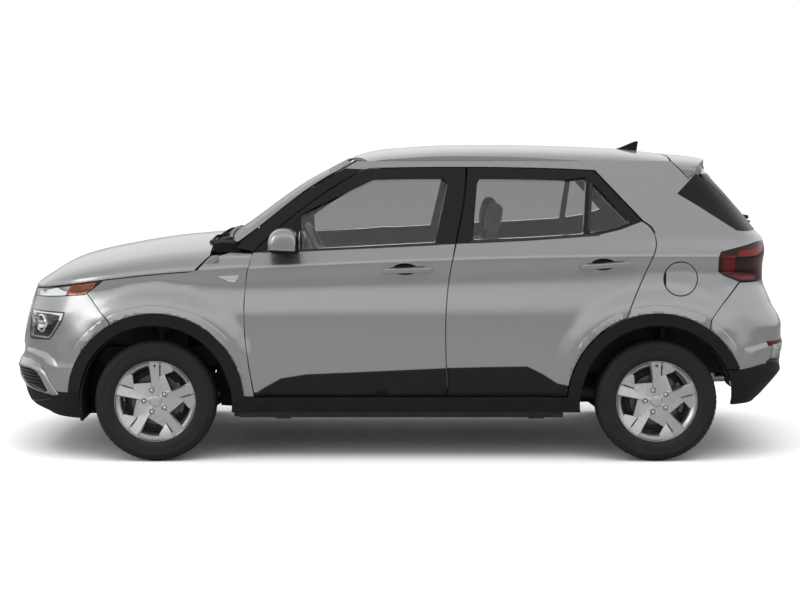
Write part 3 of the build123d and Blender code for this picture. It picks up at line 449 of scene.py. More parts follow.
def turned(profile, steps):
    """Surface of revolution about the Y axis: profile is a list of (radius, y)."""
    points = []
    for k in range(steps):
        angle = math.tau * k / steps
        points += [(r * math.sin(angle), y, r * math.cos(angle)) for r, y in profile]
    return points, quads(steps, len(profile), around=True)


def swept(path, section, up=(0, 0, 1), scale=None):
    """Tube along a path: section is a closed list of (across, upward) offsets."""
    points = []
    count, n = len(path), len(section)
    for k, p in enumerate(path):
        before = Vector(path[k - 1]) if k else Vector(p)
        after = Vector(path[k + 1]) if k < count - 1 else Vector(p)
        along = (after - before).normalized()
        across = along.cross(Vector(up)).normalized()
        raised = across.cross(along).normalized()
        grow = scale[k] if scale else 1.0
        points += [Vector(p) + across * (a * grow) + raised * (b * grow) for a, b in section]
    return points, quads(count, n) + end_caps(count, n)


def ring(radius, steps, squash=1.0):
    """Closed section of a round or oval tube."""
    return [(radius * math.cos(math.tau * k / steps),
             radius * squash * math.sin(math.tau * k / steps)) for k in range(steps)]


def square_ring(steps, power):
    """Unit ring whose corners fill out to a square as the power falls from 1 to 0."""
    return [(math.copysign(abs(a) ** power, a), math.copysign(abs(b) ** power, b))
            for a, b in ring(1.0, steps)]


def placed(points, matrix):
    return [matrix @ Vector(p) for p in points]


def joined(*parts):
    """Several (points, faces) sets as one."""
    points, faces = [], []
    for some, polygons in parts:
        start = len(points)
        points += list(some)
        faces += [tuple(start + i for i in f) for f in polygons]
    return points, faces


# --- panels that follow the body's skin
def skin_of(*names):
    """Ray target made of these CAD nodes."""
    points, faces = [], []
    for name in names:
        mesh = frame["nodes"][name].data
        start = len(points)
        points += [v.co.copy() for v in mesh.vertices]
        faces += [[start + i for i in p.vertices] for p in mesh.polygons]
    return BVHTree.FromPolygons(points, faces)


VIEWS = {
    "left": (lambda u, v: Vector((u, -3, v)), Vector((0, 1, 0)), 2.75),
    "cabin": (lambda u, v: Vector((u, -0.05, v)), Vector((0, -1, 0)), 1.2),
    "front": (lambda u, v: Vector((-4, u, v)), Vector((1, 0, 0)), 3.9),
    "rear": (lambda u, v: Vector((4, u, v)), Vector((-1, 0, 0)), 2.9),
    "top": (lambda u, v: Vector((u, v, 4)), Vector((0, 0, -1)), 3.4),
}


def on_skin(target, view, u, v, lift=0.0):
    """Point of the skin seen at (u, v) in a view, lifted towards the viewer."""
    start, way, reach = VIEWS[view]
    origin = start(u, v)
    hit, normal, _, _ = target.ray_cast(origin, way, reach)
    if hit is None:
        hit, normal = nearest_beside(target, origin, way, reach)
    if normal.dot(way) > 0:
        normal = -normal
    return hit + normal * lift


def nearest_beside(target, origin, way, reach):
    """Skin point closest to a ray that misses, within the reach of the view."""
    best = None
    for k in range(24):
        hit, normal, _, gap = target.find_nearest(origin + way * reach * k / 23)
        if best is None or gap < best[2]:
            best = hit, normal, gap
    return best[0], best[1]


def dense_line(line, step):
    """An open line with points added at about the step."""
    out = []
    for a, b in zip(line, line[1:]):
        count = max(1, round(math.dist(a, b) / step))
        out += [tuple(p + (q - p) * i / count for p, q in zip(a, b)) for i in range(count)]
    return out + [line[-1]]


def dense(loop, step):
    return dense_line([*loop, loop[0]], step)[:-1]


def area_of(loop):
    return sum(a[0] * b[1] - b[0] * a[1] for a, b in zip(loop, loop[1:] + loop[:1])) / 2


def inset(loop, amount):
    """Closed loop moved inward by an amount, at its own points."""
    turn = 1 if area_of(loop) > 0 else -1
    out = []
    for k, p in enumerate(loop):
        a = (Vector(p) - Vector(loop[k - 1])).normalized()
        b = (Vector(loop[(k + 1) % len(loop)]) - Vector(p)).normalized()
        normal = (Vector((-a.y, a.x)) + Vector((-b.y, b.x))).normalized()
        reach = amount / max(0.4, normal.dot(Vector((-a.y, a.x))))
        out.append(tuple(Vector(p) + normal * reach * turn))
    return out


def within(loop, p):
    inside = False
    for a, b in zip(loop, loop[1:] + loop[:1]):
        if (a[1] > p[1]) != (b[1] > p[1]):
            if p[0] < a[0] + (p[1] - a[1]) / (b[1] - a[1]) * (b[0] - a[0]):
                inside = not inside
    return inside


def skin_patch(outline, target, view="left", lift=0.003, holes=(), step=0.03, edge=0.0015,
               sink=0.004):
    """Points and faces of a panel with rounded edges that follows the skin, drawn in one view."""
    loops = [dense(loop, step) for loop in (outline, *holes)]
    inner = [inset(loop, edge if k == 0 else -edge) for k, loop in enumerate(loops)]
    spread, edges = [], []
    for loop in inner:
        start = len(spread)
        spread += [Vector(p) for p in loop]
        edges += [(start + i, start + (i + 1) % len(loop)) for i in range(len(loop))]
    rim = list(spread)
    lows, highs = [min(c) for c in zip(*outline)], [max(c) for c in zip(*outline)]
    for i in range(1, int((highs[0] - lows[0]) / step) + 1):
        for j in range(1, int((highs[1] - lows[1]) / step) + 1):
            p = (lows[0] + i * step, lows[1] + j * step)
            clear = all((Vector(p) - q).length > step * 0.45 for q in rim)
            if clear and within(inner[0], p) and not any(within(h, p) for h in inner[1:]):
                spread.append(Vector(p))
    found = delaunay_2d_cdt(spread, edges, [], 0, 1e-7)
    spots, triangles = found[0], found[2]
    kept = []
    for t in triangles:
        middle = sum((spots[i] for i in t), Vector((0, 0))) / 3
        if within(inner[0], middle) and not any(within(h, middle) for h in inner[1:]):
            kept.append(tuple(t))
    points = [on_skin(target, view, *p, lift) for p in spots]
    faces = list(kept)
    where = {}
    for i, found_from in enumerate(found[3]):
        for original in found_from:
            where[original] = i
    start = 0
    rims = []
    for loop in loops:
        n = len(loop)
        top = [where[start + i] for i in range(n)]
        base = len(points)
        points += [on_skin(target, view, *p, max(lift - edge, lift * 0.4)) for p in loop]
        points += [on_skin(target, view, *p, -sink) for p in loop]
        for i in range(n):
            j = (i + 1) % n
            faces.append((top[i], top[j], base + j, base + i))
            faces.append((base + i, base + j, base + n + j, base + n + i))
        rims.append((top, base + n))
        start += n
    under = {}
    for (top, low), loop in zip(rims, loops):
        for i, t in enumerate(top):
            under[t] = low + i
    for i in {i for t in kept for i in t}:
        if i not in under:
            under[i] = len(points)
            points.append(on_skin(target, view, *spots[i], -sink))
    faces += [tuple(under[i] for i in reversed(t)) for t in kept]
    return points, faces


def islands(node):
    """The separate smooth faces of a CAD node, largest first: (points, faces, normal, area)."""
    mesh = frame["nodes"][node].data
    parent = list(range(len(mesh.vertices)))

    def root(i):
        while parent[i] != i:
            parent[i] = parent[parent[i]]
            i = parent[i]
        return i

    for polygon in mesh.polygons:
        first = root(polygon.vertices[0])
        for i in polygon.vertices[1:]:
            parent[root(i)] = first
    groups = {}
    for polygon in mesh.polygons:
        groups.setdefault(root(polygon.vertices[0]), []).append(polygon)
    out = []
    for polygons in groups.values():
        used = sorted({i for p in polygons for i in p.vertices})
        index = {i: k for k, i in enumerate(used)}
        area = sum(p.area for p in polygons)
        normal = sum((p.normal * p.area for p in polygons), Vector()) / area
        out.append(([mesh.vertices[i].co.copy() for i in used],
                    [tuple(index[i] for i in p.vertices) for p in polygons], normal, area))
    return sorted(out, key=lambda island: -island[3])


# --- wheels and tyres
def tyre_mesh(pitches=68, slant=0.012):
    """Tyre about the Y axis with three grooves round it, cross grooves and sidewall rings."""
    side = [(0.197, 0.070), (0.202, 0.082), (0.212, 0.0885), (0.226, 0.0915), (0.229, TREAD_HALF),
            (0.233, TREAD_HALF), (0.236, 0.0918), (0.250, TREAD_HALF), (0.264, 0.0912),
            (0.266, 0.0922), (0.270, 0.0920), (0.272, 0.0900), (0.284, 0.0862), (0.293, 0.0800),
            (0.2985, 0.0735)]
    crown = [(0.3030, 0.0640), (0.3045, 0.0480), (0.3050, 0.0395), (0.2975, 0.0385),
             (0.2975, 0.0305), (0.3053, 0.0295), (TREAD_RADIUS, 0.0150), (TREAD_RADIUS, 0.0045),
             (0.2978, 0.0035)]
    half = side + crown
    outline = [(r, -y) for r, y in half] + [(r, y) for r, y in reversed(half)]
    hollow = [(0.186, 0.060), (0.215, 0.078), (0.262, 0.078), (0.288, 0.055), (0.292, 0.0)]
    hollow += [(r, -y) for r, y in reversed(hollow[:-1])]
    profile = outline + hollow
    points = []
    columns = [(0.0, 0.0), (0.78, 0.0), (0.82, 0.0032), (0.95, 0.0032)]
    for k in range(pitches):
        for share, cut in columns:
            for i, (r, y) in enumerate(profile):
                edge = i < len(outline) and r > 0.292
                shift = slant * math.copysign(min(1.0, abs(y) / 0.06), y) if edge else 0.0
                angle = math.tau * (k + share) / pitches + shift
                depth = cut if edge and r > 0.298 and abs(y) > 0.004 else 0.0
                depth = cut * 0.35 if edge and 0.292 < r <= 0.2986 and abs(y) > 0.07 else depth
                points.append(((r - depth) * math.sin(angle), y, (r - depth) * math.cos(angle)))
    return points, quads(pitches * len(columns), len(profile), around=True)


SPOKE_POINTS = {
    "E1": (66, -18, 62), "E2": (94, -14, 60), "E3": (174, -11, 66), "E4": (187, -10.5, 66),
    "E5": (199, -10, 68), "L1": (66, -14, 66), "L2": (94, -11, 69), "L25": (128, -9.6, 72.5),
    "L3": (172, -8.5, 76), "L4": (187, -8, 77), "L5": (199, -7.5, 74), "T1": (66, 6, 62),
    "T2": (95, 8, 62), "T3": (126, 9, 64), "T4": (172, 6.8, 66), "T5": (187, 6.2, 67),
    "T6": (199, 6, 70), "G3": (128, 10.6, 54), "G4": (173, 8.2, 55), "G5": (187, 7.4, 55),
    "G6": (199, 7.2, 66), "P3": (128, 12.2, 60), "P4": (173, 10, 72), "P5": (187, 9.4, 74),
    "P6": (199, 9, 73), "Q": (172, 30.5, 62), "R": (187, 29, 64), "R2": (199, 27.5, 68),
    "A": (139, 19.5, 56), "W1": (66, 20, 60), "W2": (66, 40, 59),
}
SPOKE_FACES = ["E1 E2 L2 L1", "E2 E3 L3 L25 L2", "E3 E4 L4 L3", "E4 E5 L5 L4", "L1 L2 T2 T1",
               "L2 L25 T3 T2", "L25 L3 T4 T3", "L3 L4 T5 T4", "L4 L5 T6 T5", "T3 T4 G4 G3",
               "T4 T5 G5 G4", "T5 T6 G6 G5", "G3 G4 P4 P3", "G4 G5 P5 P4", "G5 G6 P6 P5",
               "P3 P4 Q A", "P4 P5 R Q", "P5 P6 R2 R", "G3 P3 A", "T2 T3 G3", "T2 G3 A D",
               "T1 T2 D W2 W1", "W2 D E1+"]
WHEEL_BACK = 0.020


def wheel_face_mesh():
    """Faceted five-spoke face with side walls and a back, hub in the middle."""
    names = list(SPOKE_POINTS)
    points, faces = [], []
    for k in range(SPOKES):
        for r, angle, depth in SPOKE_POINTS.values():
            turn = math.radians(angle + SPOKE_TURN * k)
            points.append((r / 1000 * math.sin(turn), -depth / 1000, r / 1000 * math.cos(turn)))
    n = len(names)

    def number(label, k):
        after = (k + 1) % SPOKES
        if label == "D":
            return after * n + names.index("E2")
        if label.endswith("+"):
            return after * n + names.index(label[:-1])
        return k * n + names.index(label)

    for k in range(SPOKES):
        faces += [tuple(number(label, k) for label in row.split()) for row in SPOKE_FACES]
    rim = [number(label, k) for k in range(SPOKES) for label in ("E1", "L1", "T1", "W1", "W2")]
    middle = len(points)
    points.append((0, -0.0615, 0))
    faces += [(rim[i], rim[(i + 1) % len(rim)], middle) for i in range(len(rim))]
    edges = {}
    for f in faces:
        for a, b in zip(f, f[1:] + f[:1]):
            key = (min(a, b), max(a, b))
            edges[key] = edges.get(key, 0) + 1
    total = len(points)
    points += [(x, y + WHEEL_BACK, z) for x, y, z in points]
    walls = [(a, b, b + total, a + total) for (a, b), uses in edges.items() if uses == 1]
    return points, faces + [tuple(i + total for i in reversed(f)) for f in faces] + walls


def apply_all(thing):
    """The piece's mesh with its modifiers worked in."""
    depsgraph = bpy.context.evaluated_depsgraph_get()
    mesh = bpy.data.meshes.new_from_object(thing.evaluated_get(depsgraph))
    old = thing.data
    thing.modifiers.clear()
    thing.data = mesh
    bpy.data.meshes.remove(old)


def boolean(thing, cutter):
    mod = thing.modifiers.new("cut", "BOOLEAN")
    mod.object, mod.operation, mod.solver = cutter, "DIFFERENCE", "EXACT"
    apply_all(thing)
    bpy.data.objects.remove(cutter)


def bare_object(name, points, faces):
    """Helper object that is used up while other pieces are made."""
    return new_object(name, outward_mesh(name, points, faces, checked=False))


def used_up(work, grow=0.0):
    """Points and faces of a helper object, which is then removed."""
    mesh = work.data
    out = ([v.co + v.normal * grow for v in mesh.vertices],
           [tuple(p.vertices) for p in mesh.polygons])
    bpy.data.objects.remove(work)
    return out


def on_axle(hub, side):
    """Wheel-local points (outer side towards -Y) to their place on the car."""
    turn = Matrix.Rotation(math.pi if side == RIGHT else 0.0, 4, "Z")
    return Matrix.Translation(Vector((hub.x, side * abs(hub.y), hub.z))) @ turn


def stud_place(k):
    turn = math.radians(SPOKE_TURN * k - 18)
    return STUD_RADIUS * math.sin(turn), STUD_RADIUS * math.cos(turn)


TYRE = tyre_mesh()
cutter_parts = []
for k in range(SPOKES):
    sx, sz = stud_place(k)
    bowl, bowl_faces = turned([(NEAR_AXIS, -0.052), (0.013, -0.052), (0.017, -0.075),
                               (NEAR_AXIS, -0.075)], 28)
    cutter_parts.append(([(x + sx, y, z + sz) for x, y, z in bowl], bowl_faces))
face_points, face_faces = wheel_face_mesh()
face_thing = bare_object("wheel face work", face_points, face_faces)
boolean(face_thing, bare_object("stud pockets", *joined(*cutter_parts)))
WHEEL_FACE = used_up(face_thing)
BARREL = turned([(r / 1000, -d / 1000) for r, d in (
    (206, 83), (206.5, 79), (201, 75), (199, 70), (190, 50), (180, 20), (180, -50), (196, -70),
    (205, -76), (206, -83), (202, -83), (192, -72), (173, -52), (171, 20), (173, 52), (184, 64),
    (195, 70), (199, 78), (202, 83))], 120)
CAP = turned([(NEAR_AXIS, -0.0685), (0.020, -0.068), (0.028, -0.0665), (0.0315, -0.063),
              (0.033, -0.058), (NEAR_AXIS, -0.058)], 60)
NUT = joined(turned([(NEAR_AXIS, -0.0735), (0.004, -0.073), (0.0075, -0.0705), (0.0092, -0.067),
                     (0.0098, -0.062), (0.0098, -0.051), (NEAR_AXIS, -0.051)], 6),
             turned([(0.0098, -0.0585), (0.0125, -0.0555), (0.0125, -0.051), (0.0098, -0.051)], 24))
ROTOR = joined(turned([(0.066, -0.006), (0.128, -0.006), (0.128, 0.001), (0.066, 0.001)], 90),
               turned([(0.066, 0.009), (0.128, 0.009), (0.128, 0.016), (0.066, 0.016)], 90),
               turned([(0.058, -0.040), (0.070, -0.036), (0.071, 0.010), (0.058, 0.010)], 60))


def arc_block(inner, outer, start, end, near, far, steps=14):
    """Block that follows an arc round the axle, between two depths."""
    points = []
    for k in range(steps + 1):
        angle = math.radians(start + (end - start) * k / steps)
        for r, y in ((inner, near), (outer, near), (outer, far), (inner, far)):
            points.append((r * math.sin(angle), y, r * math.cos(angle)))
    caps = [(0, 1, 2, 3), tuple(4 * steps + i for i in (3, 2, 1, 0))]
    return points, quads(steps + 1, 4) + caps


CALIPER = joined(arc_block(0.088, 0.142, 55, 112, -0.030, -0.010),
                 arc_block(0.124, 0.146, 50, 117, -0.034, 0.044),
                 arc_block(0.086, 0.142, 60, 107, 0.020, 0.048))
VANES = joined(*[arc_block(0.072, 0.126, 10 * k, 10 * k + 3, 0.0, 0.010, 1) for k in range(36)])

for end, hub in (("front", FRONT_HUB), ("rear", REAR_HUB)):
    for side in (LEFT, RIGHT):
        name = f"{end}_{SIDE_NAMES[side]}"
        body = f"{end}_wheel_{SIDE_NAMES[side]}"
        place = on_axle(hub, side)
        tread = piece(f"tread_{name}", placed(TYRE[0], place), TYRE[1], body, RUBBER, "tyre_rubber",
                      28)
        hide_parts(f"tyre_{name}")
        face = piece(f"rim_face_{name}", placed(WHEEL_FACE[0], place), WHEEL_FACE[1], body, ALLOY,
                     "silver_alloy", 15)
        soften(face, width=0.0011, segments=2, angle=12)
        piece(f"rim_barrel_{name}", placed(BARREL[0], place), BARREL[1], body, ALLOY,
              "silver_alloy", 40)
        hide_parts(f"wheel_{name}")
        piece(f"hub_cap_{name}", placed(CAP[0], place), CAP[1], body, ALLOY, "silver_alloy", 30)
        nuts = []
        for k in range(SPOKES):
            sx, sz = stud_place(k)
            nuts.append(([place @ Vector((x + sx, y, z + sz)) for x, y, z in NUT[0]], NUT[1]))
        soften(piece(f"wheel_nuts_{name}", *joined(*nuts), body, CHROME), width=0.0006)
        rotor = joined(ROTOR, VANES)
        piece(f"brake_disc_{name}", placed(rotor[0], place), rotor[1], body, SHADED_DISC)
        holder = f"steering_{SIDE_NAMES[side]}" if end == "front" else SHELL
        caliper = piece(f"brake_caliper_{name}", placed(CALIPER[0], place), CALIPER[1], holder,
                        IRON)
        soften(caliper, width=0.003, segments=3)
        guard = turned([(0.045, 0.024), (0.150, 0.024), (0.166, 0.012), (0.167, 0.014),
                        (0.151, 0.0265), (0.045, 0.0265)], 72)
        piece(f"brake_shield_{name}", placed(guard[0], place), guard[1], holder, STEEL,
              "black_steel")
        stem = swept([(0.0, -0.060, 0.186), (0.0, -0.074, 0.181), (0.0, -0.088, 0.176)],
                     ring(0.0042, 10), up=(1, 0, 0))
        piece(f"tyre_valve_{name}", placed(stem[0], place), stem[1], body, SEAL)


# --- thin panels copied from the skin of the bodywork
READ = {
    "left": lambda p: (p.x, p.z), "cabin": lambda p: (p.x, p.z), "front": lambda p: (p.y, p.z),
    "rear": lambda p: (p.y, p.z), "top": lambda p: (p.x, p.y),
}


def cut_along(work, loop, view):
    """Splits a mesh along the edges of a loop drawn in a view."""
    start, way, _ = VIEWS[view]
    for a, b in zip(loop, loop[1:] + loop[:1]):
        near, far = start(*a), start(*b)
        normal = (far - near).cross(way).normalized()
        bmesh.ops.bisect_plane(work, geom=work.verts[:] + work.edges[:] + work.faces[:],
                               dist=ON_PLANE, plane_co=near, plane_no=normal)


def shell_of(nodes, outline, view="left", lift=0.0015, depth=0.0015, holes=(), facing=0.12):
    """Closed thin panel copied from what a view shows of some nodes, trimmed to an outline."""
    way = VIEWS[view][1]
    work = bmesh.new()
    for node in nodes.split():
        mesh = frame["nodes"][node].data
        target = skin_of(node)
        corners = {}
        for polygon in mesh.polygons:
            turned_away = polygon.normal.dot(way) > -facing
            if turned_away or not near_loop(outline, READ[view](polygon.center)):
                continue
            hit = target.ray_cast(polygon.center - way * 3, way)[0]
            if hit is None or (hit - polygon.center).length > 0.002:
                continue
            for i in polygon.vertices:
                if i not in corners:
                    corners[i] = work.verts.new(mesh.vertices[i].co)
            work.faces.new([corners[i] for i in polygon.vertices])
    bmesh.ops.remove_doubles(work, verts=work.verts[:], dist=WELD)
    for loop in (outline, *holes):
        cut_along(work, loop, view)
    gone = []
    for face in work.faces:
        middle = READ[view](face.calc_center_median())
        if not within(outline, middle) or any(within(hole, middle) for hole in holes):
            gone.append(face)
    bmesh.ops.delete(work, geom=gone, context="FACES")
    work.normal_update()
    work.verts.index_update()
    n = len(work.verts)
    points = [v.co + v.normal * lift for v in work.verts]
    points += [v.co - v.normal * depth for v in work.verts]
    faces = []
    for face in work.faces:
        loop = [v.index for v in face.verts]
        faces += [tuple(loop), tuple(i + n for i in reversed(loop))]
    for edge in work.edges:
        if len(edge.link_faces) == 1:
            a, b = (v.index for v in edge.verts)
            faces.append((a, b, b + n, a + n))
    work.free()
    return points, faces


def near_loop(loop, p, margin=0.12):
    lows, highs = [min(c) for c in zip(*loop)], [max(c) for c in zip(*loop)]
    return all(low - margin < c < high + margin for low, c, high in zip(lows, p, highs))


def side_panel(name, outline, node, body, finish, slot=None, holes=(), **how):
    """Raised panel over the left side's skin of a node, and its mirror image on the right."""
    patch = skin_patch(side_view(*outline), skin_of(node), "left",
                       holes=[side_view(*h) for h in holes], **how)
    return pair(name, *patch, body, finish, slot)


def side_shell(name, outline, nodes, body, finish, slot=None, **how):
    return pair(name, *shell_of(nodes, side_view(*outline), **how), body, finish, slot)


side_shell("front_door_frame", [(-760, 1046), (-662, 1052), (-444, 1063), (-50, 1079), (326, 1095),
                                (420, 1098), (420, 1500), (-760, 1500)], "front_door_left",
           "door_front_{}", *LACQUERED)
side_shell("rear_door_frame", [(300, 1094), (627, 1109), (909, 1127), (1050, 1141), (1156, 1165),
                               (1262, 1203), (1345, 1240), (1345, 1500), (300, 1500)],
           "rear_door_left", "door_rear_{}", *LACQUERED)
side_shell("windshield_pillar", [(-830, 1044), (-830, 1300), (-500, 1560), (-186, 1560),
                                 (-188, 1517), (-234, 1467), (-110, 1462), (-110, 1380),
                                 (-500, 1044)], "body_side_left", SHELL, *LACQUERED)
side_shell("door_pillar", [(170, 1060), (500, 1060), (500, 1471), (170, 1471)], "body_side_left",
           SHELL, *LACQUERED)
PILLAR_EDGE = [(1456, 1341), (1560, 1279), (1668, 1209), (1747, 1159), (1790, 1154), (1990, 1154)]
side_shell("rear_pillar_panel", [*PILLAR_EDGE, (1990, 1300), (1700, 1500), (1570, 1450),
                                 (1530, 1412)], "body_side_left", SHELL, *LACQUERED, facing=0.05)
side_shell("gate_side_panel", [*PILLAR_EDGE, (1990, 1250), (1640, 1436), (1570, 1436),
                               (1530, 1412)], "tailgate", "tailgate_lid", *LACQUERED, facing=0.05)
side_panel("front_door_cladding", [(-671, 349), (-609, 386), (-548, 421), (-420, 442), (50, 463),
                                   (280, 474), (283, 344), (-300, 342), (-668, 341)],
           "front_door_left", "door_front_{}", *GRAINED, lift=0.009, edge=0.004)
side_panel("rear_door_cladding", [(294, 475), (520, 480), (689, 482), (760, 447), (838, 398),
                                  (893, 386), (895, 346), (293, 344)], "rear_door_left",
           "door_rear_{}", *GRAINED, lift=0.009, edge=0.004)
side_shell("front_door_hem", [(-690, 300), (290, 300), (290, 474), (276, 474), (276, 351),
                              (-690, 351)], "front_door_left", "door_front_{}", *GRAINED,
           facing=-0.3)
side_shell("rear_door_hem", [(280, 300), (900, 300), (900, 366), (860, 353), (299, 353), (299, 476),
                             (280, 476)], "rear_door_left", "door_rear_{}", *GRAINED, facing=-0.3)


def oval(x, z, wide, tall, count=28):
    return [(x + wide * math.cos(math.tau * k / count), z + tall * math.sin(math.tau * k / count))
            for k in range(count)]


HANDLE_BARS = {"front": ((-36, 962), (210, 970)), "rear": ((951, 981), (1205, 997))}
# black lacquer cups copied from the handle scoops: painted shade for the recesses behind the bars
for place, ((x0, z0), (x1, z1)) in HANDLE_BARS.items():
    bar_shape = [(x0 - 4, z0 - 14), (x1 + 4, z1 - 14), (x1 + 4, z1 + 14), (x0 - 4, z0 + 14)]
    side_shell(f"{place}_handle_cup", oval((x0 + x1) / 2 - 12, (z0 + z1) / 2 + 6, 60, 29),
               f"{place}_door_left", f"door_{place}_{{}}", PILLAR, holes=[side_view(*bar_shape)],
               facing=-0.2, lift=0.0007)


def strip_on(nodes, line, view, half, lift, sink=0.002):
    """Narrow raised strip along a line of the skin."""
    target = skin_of(*nodes.split())
    spots = [on_skin(target, view, u, v) for u, v in dense_line(line, 0.02)]
    section = [(half, -sink), (half * 0.8, lift * 0.8), (half * 0.3, lift), (-half * 0.3, lift),
               (-half * 0.8, lift * 0.8), (-half, -sink)]
    points = []
    count, n = len(spots), len(section)
    for k, spot in enumerate(spots):
        along = (spots[min(k + 1, count - 1)] - spots[max(k - 1, 0)]).normalized()
        normal = target.find_nearest(spot)[1]
        if normal.dot(VIEWS[view][1]) > 0:
            normal = -normal
        across = along.cross(normal).normalized()
        points += [spot + across * a + normal * b for a, b in section]
    return points, quads(count, n) + end_caps(count, n)


for name, door, line, half in (
        ("front_belt_seal", "front", [(-640, 1057), (-444, 1063), (-50, 1081), (240, 1095)], 0.006),
        ("rear_belt_seal", "rear", [(400, 1103), (698, 1117), (1050, 1141)], 0.006),
        ("window_divider", "rear", [(998, 1156), (1010, 1290), (1020, 1392)], 0.008)):
    pair(name, *strip_on(f"{door}_door_left", side_view(*line), "left", half=half, lift=0.005),
         f"door_{door}_{{}}", SEAL)


# --- lamps: clear covers over housings, bezels and reflectors
def crowned(outline, target, view, lift, crown, reach, step=0.012, sink=0.002, edge=0.001, holes=(),
            height=None):
    """Panel on the skin that swells from its edges towards the middle, or by a height function."""
    points, faces = skin_patch(outline, target, view, lift=lift, holes=holes, step=step, edge=edge,
                               sink=sink)
    raised = []
    for p in points:
        hit, normal, _, _ = target.find_nearest(p)
        outward = normal if normal.dot(VIEWS[view][1]) < 0 else -normal
        proud = (p - hit).dot(outward)
        if proud > lift * 0.9:
            u, v = READ[view](p)
            gap = min(distance_to(a, b, (u, v)) for a, b in zip(outline, outline[1:] + outline[:1]))
            share = min(1.0, max(0.0, gap - edge) / reach)
            swell = height(u, v) if height else crown * math.sin(share * math.pi / 2)
            p = p + outward * swell
        raised.append(p)
    return raised, faces


def distance_to(a, b, p):
    along, from_a = Vector(b) - Vector(a), Vector(p) - Vector(a)
    share = min(1.0, max(0.0, from_a.dot(along) / max(along.length_squared, 1e-12)))
    return (from_a - along * share).length


LARGEST = 12  # a cover is among the largest faces of its lamp


def lens_cover(node, choose, thick=0.003):
    """Clear cover made from a lamp's outer face, thickened inward."""
    points, faces = [], []
    for island_points, island_faces, normal, _ in islands(node)[:LARGEST]:
        if choose(normal):
            cover = bmesh.new()
            corners = [cover.verts.new(p) for p in island_points]
            for f in island_faces:
                cover.faces.new([corners[i] for i in f])
            cover.normal_update()
            n = len(corners)
            out_points = [v.co.copy() for v in corners] + [v.co - v.normal * thick for v in corners]
            out_faces = list(island_faces)
            out_faces += [tuple(i + n for i in reversed(f)) for f in island_faces]
            cover.verts.index_update()
            for edge in cover.edges:
                if len(edge.link_faces) == 1:
                    a, b = (v.index for v in edge.verts)
                    out_faces.append((a, b, b + n, a + n))
            cover.free()
            points, faces = joined((points, faces), (out_points, out_faces))
    return points, faces


covers = piece("headlamp_covers", *lens_cover("headlamps", lambda normal: normal.x < -0.5),
               SHELL, CLEAR, "clear_lens")
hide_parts("headlamps")


def lamp_layer(name, outline, finish, lift, thick, holes=(), nodes="headlamps"):
    """Layer inside a lamp that follows its cover at a depth."""
    cuts = [side_view(*h) for h in holes]
    layer = shell_of(nodes, side_view(*outline), "left", lift=lift, depth=thick - lift, holes=cuts,
                     facing=0.02)
    return pair(name, *layer, SHELL, finish)


TURN_BOX = [(-1900, 790), (-1500, 790), (-1400, 930), (-1900, 930)]
TURN_LENS = [(-1632, 836), (-1530, 843), (-1496, 870), (-1470, 903), (-1606, 884)]
MAIN_BOX = [(-1900, 590), (-1600, 590), (-1600, 765), (-1900, 765)]
for row in (
        ("turn_lamp_housing", TURN_BOX, SATIN, -0.022, 0.028),
        ("turn_lamp_reflector", [(-1806, 819), (-1640, 835), (-1612, 879), (-1700, 866),
                                 (-1806, 844)], CHROME, -0.010, 0.014),
        ("turn_lamp_lens", TURN_LENS, AMBER, -0.004, 0.008),
        ("turn_lamp_mirror", TURN_LENS, CHROME, -0.012, 0.016),
        ("turn_lamp_rim", TURN_BOX, SATIN, -0.0004, 0.004,
         [[(-1828, 817), (-1640, 833), (-1533, 842), (-1482, 880), (-1458, 904), (-1600, 888),
           (-1720, 868), (-1828, 845)]]),
        ("main_lamp_housing", MAIN_BOX, SATIN, -0.034, 0.040),
        ("main_lamp_bezel", MAIN_BOX, CHROME, -0.003, 0.030,
         [[(-1822, 621), (-1728, 622), (-1706, 646), (-1672, 706), (-1664, 731), (-1722, 738),
           (-1812, 736)]]),
        ("main_lamp_rim", MAIN_BOX, SATIN, -0.0004, 0.005,
         [[(-1842, 611), (-1724, 613), (-1706, 634), (-1660, 703), (-1644, 744), (-1702, 744),
           (-1838, 743)]])):
    lamp_layer(*row)


def facing_front(profile, place, lean, steps=40):
    """Surface of revolution whose axis points forward and outward by an angle."""
    points, faces = turned([(max(r, NEAR_AXIS), -y) for r, y in profile], steps)
    turn = Matrix.Translation(place) @ Matrix.Rotation(math.radians(-90 + lean), 4, "Z")
    return placed(points, turn), faces


BULB = at(-1752, -632, 834), 35
EYE = at(-1748, -676, 684), 38
for name, profile, place, finish in (
        ("side_lamp_bulb", [(0, 0.012), (0.006, 0.0105), (0.0085, 0.004), (0.0085, -0.004),
                            (0, -0.004)], BULB, CLEAR),
        ("side_lamp_socket", [(0.0095, 0.002), (0.017, 0.010), (0.019, 0.009), (0.012, -0.006),
                              (0.0, -0.008), (0.0, -0.003), (0.009, -0.002)], BULB, SATIN),
        ("main_lamp_projector", [(0, 0.052), (0.014, 0.050), (0.026, 0.044), (0.034, 0.034),
                                 (0.036, 0.026), (0.036, 0.020), (0, 0.020)], EYE, CLEAR),
        ("projector_ring", [(0.0365, 0.020), (0.0365, 0.030), (0.040, 0.034), (0.047, 0.030),
                            (0.050, 0.010), (0.046, -0.01), (0.036, -0.01)], EYE, CHROME),
        ("projector_shroud", [(0.0, 0.012), (0.036, 0.016), (0.036, -0.02), (0.0, -0.02)],
         EYE, SATIN)):
    pair(name, *facing_front(profile, *place), SHELL, finish)
fins = []
for k in range(6):
    z = 628 + 18 * k
    fins.append(swept([at(-1800 - 2 * k, -640, z), at(-1762, -690, z), at(-1712 + 4 * k, -738, z)],
                      [(0.012, 0.0012), (-0.012, 0.0012), (-0.012, -0.0012), (0.012, -0.0012)]))
pair("main_lamp_fins", *joined(*fins), SHELL, SATIN)

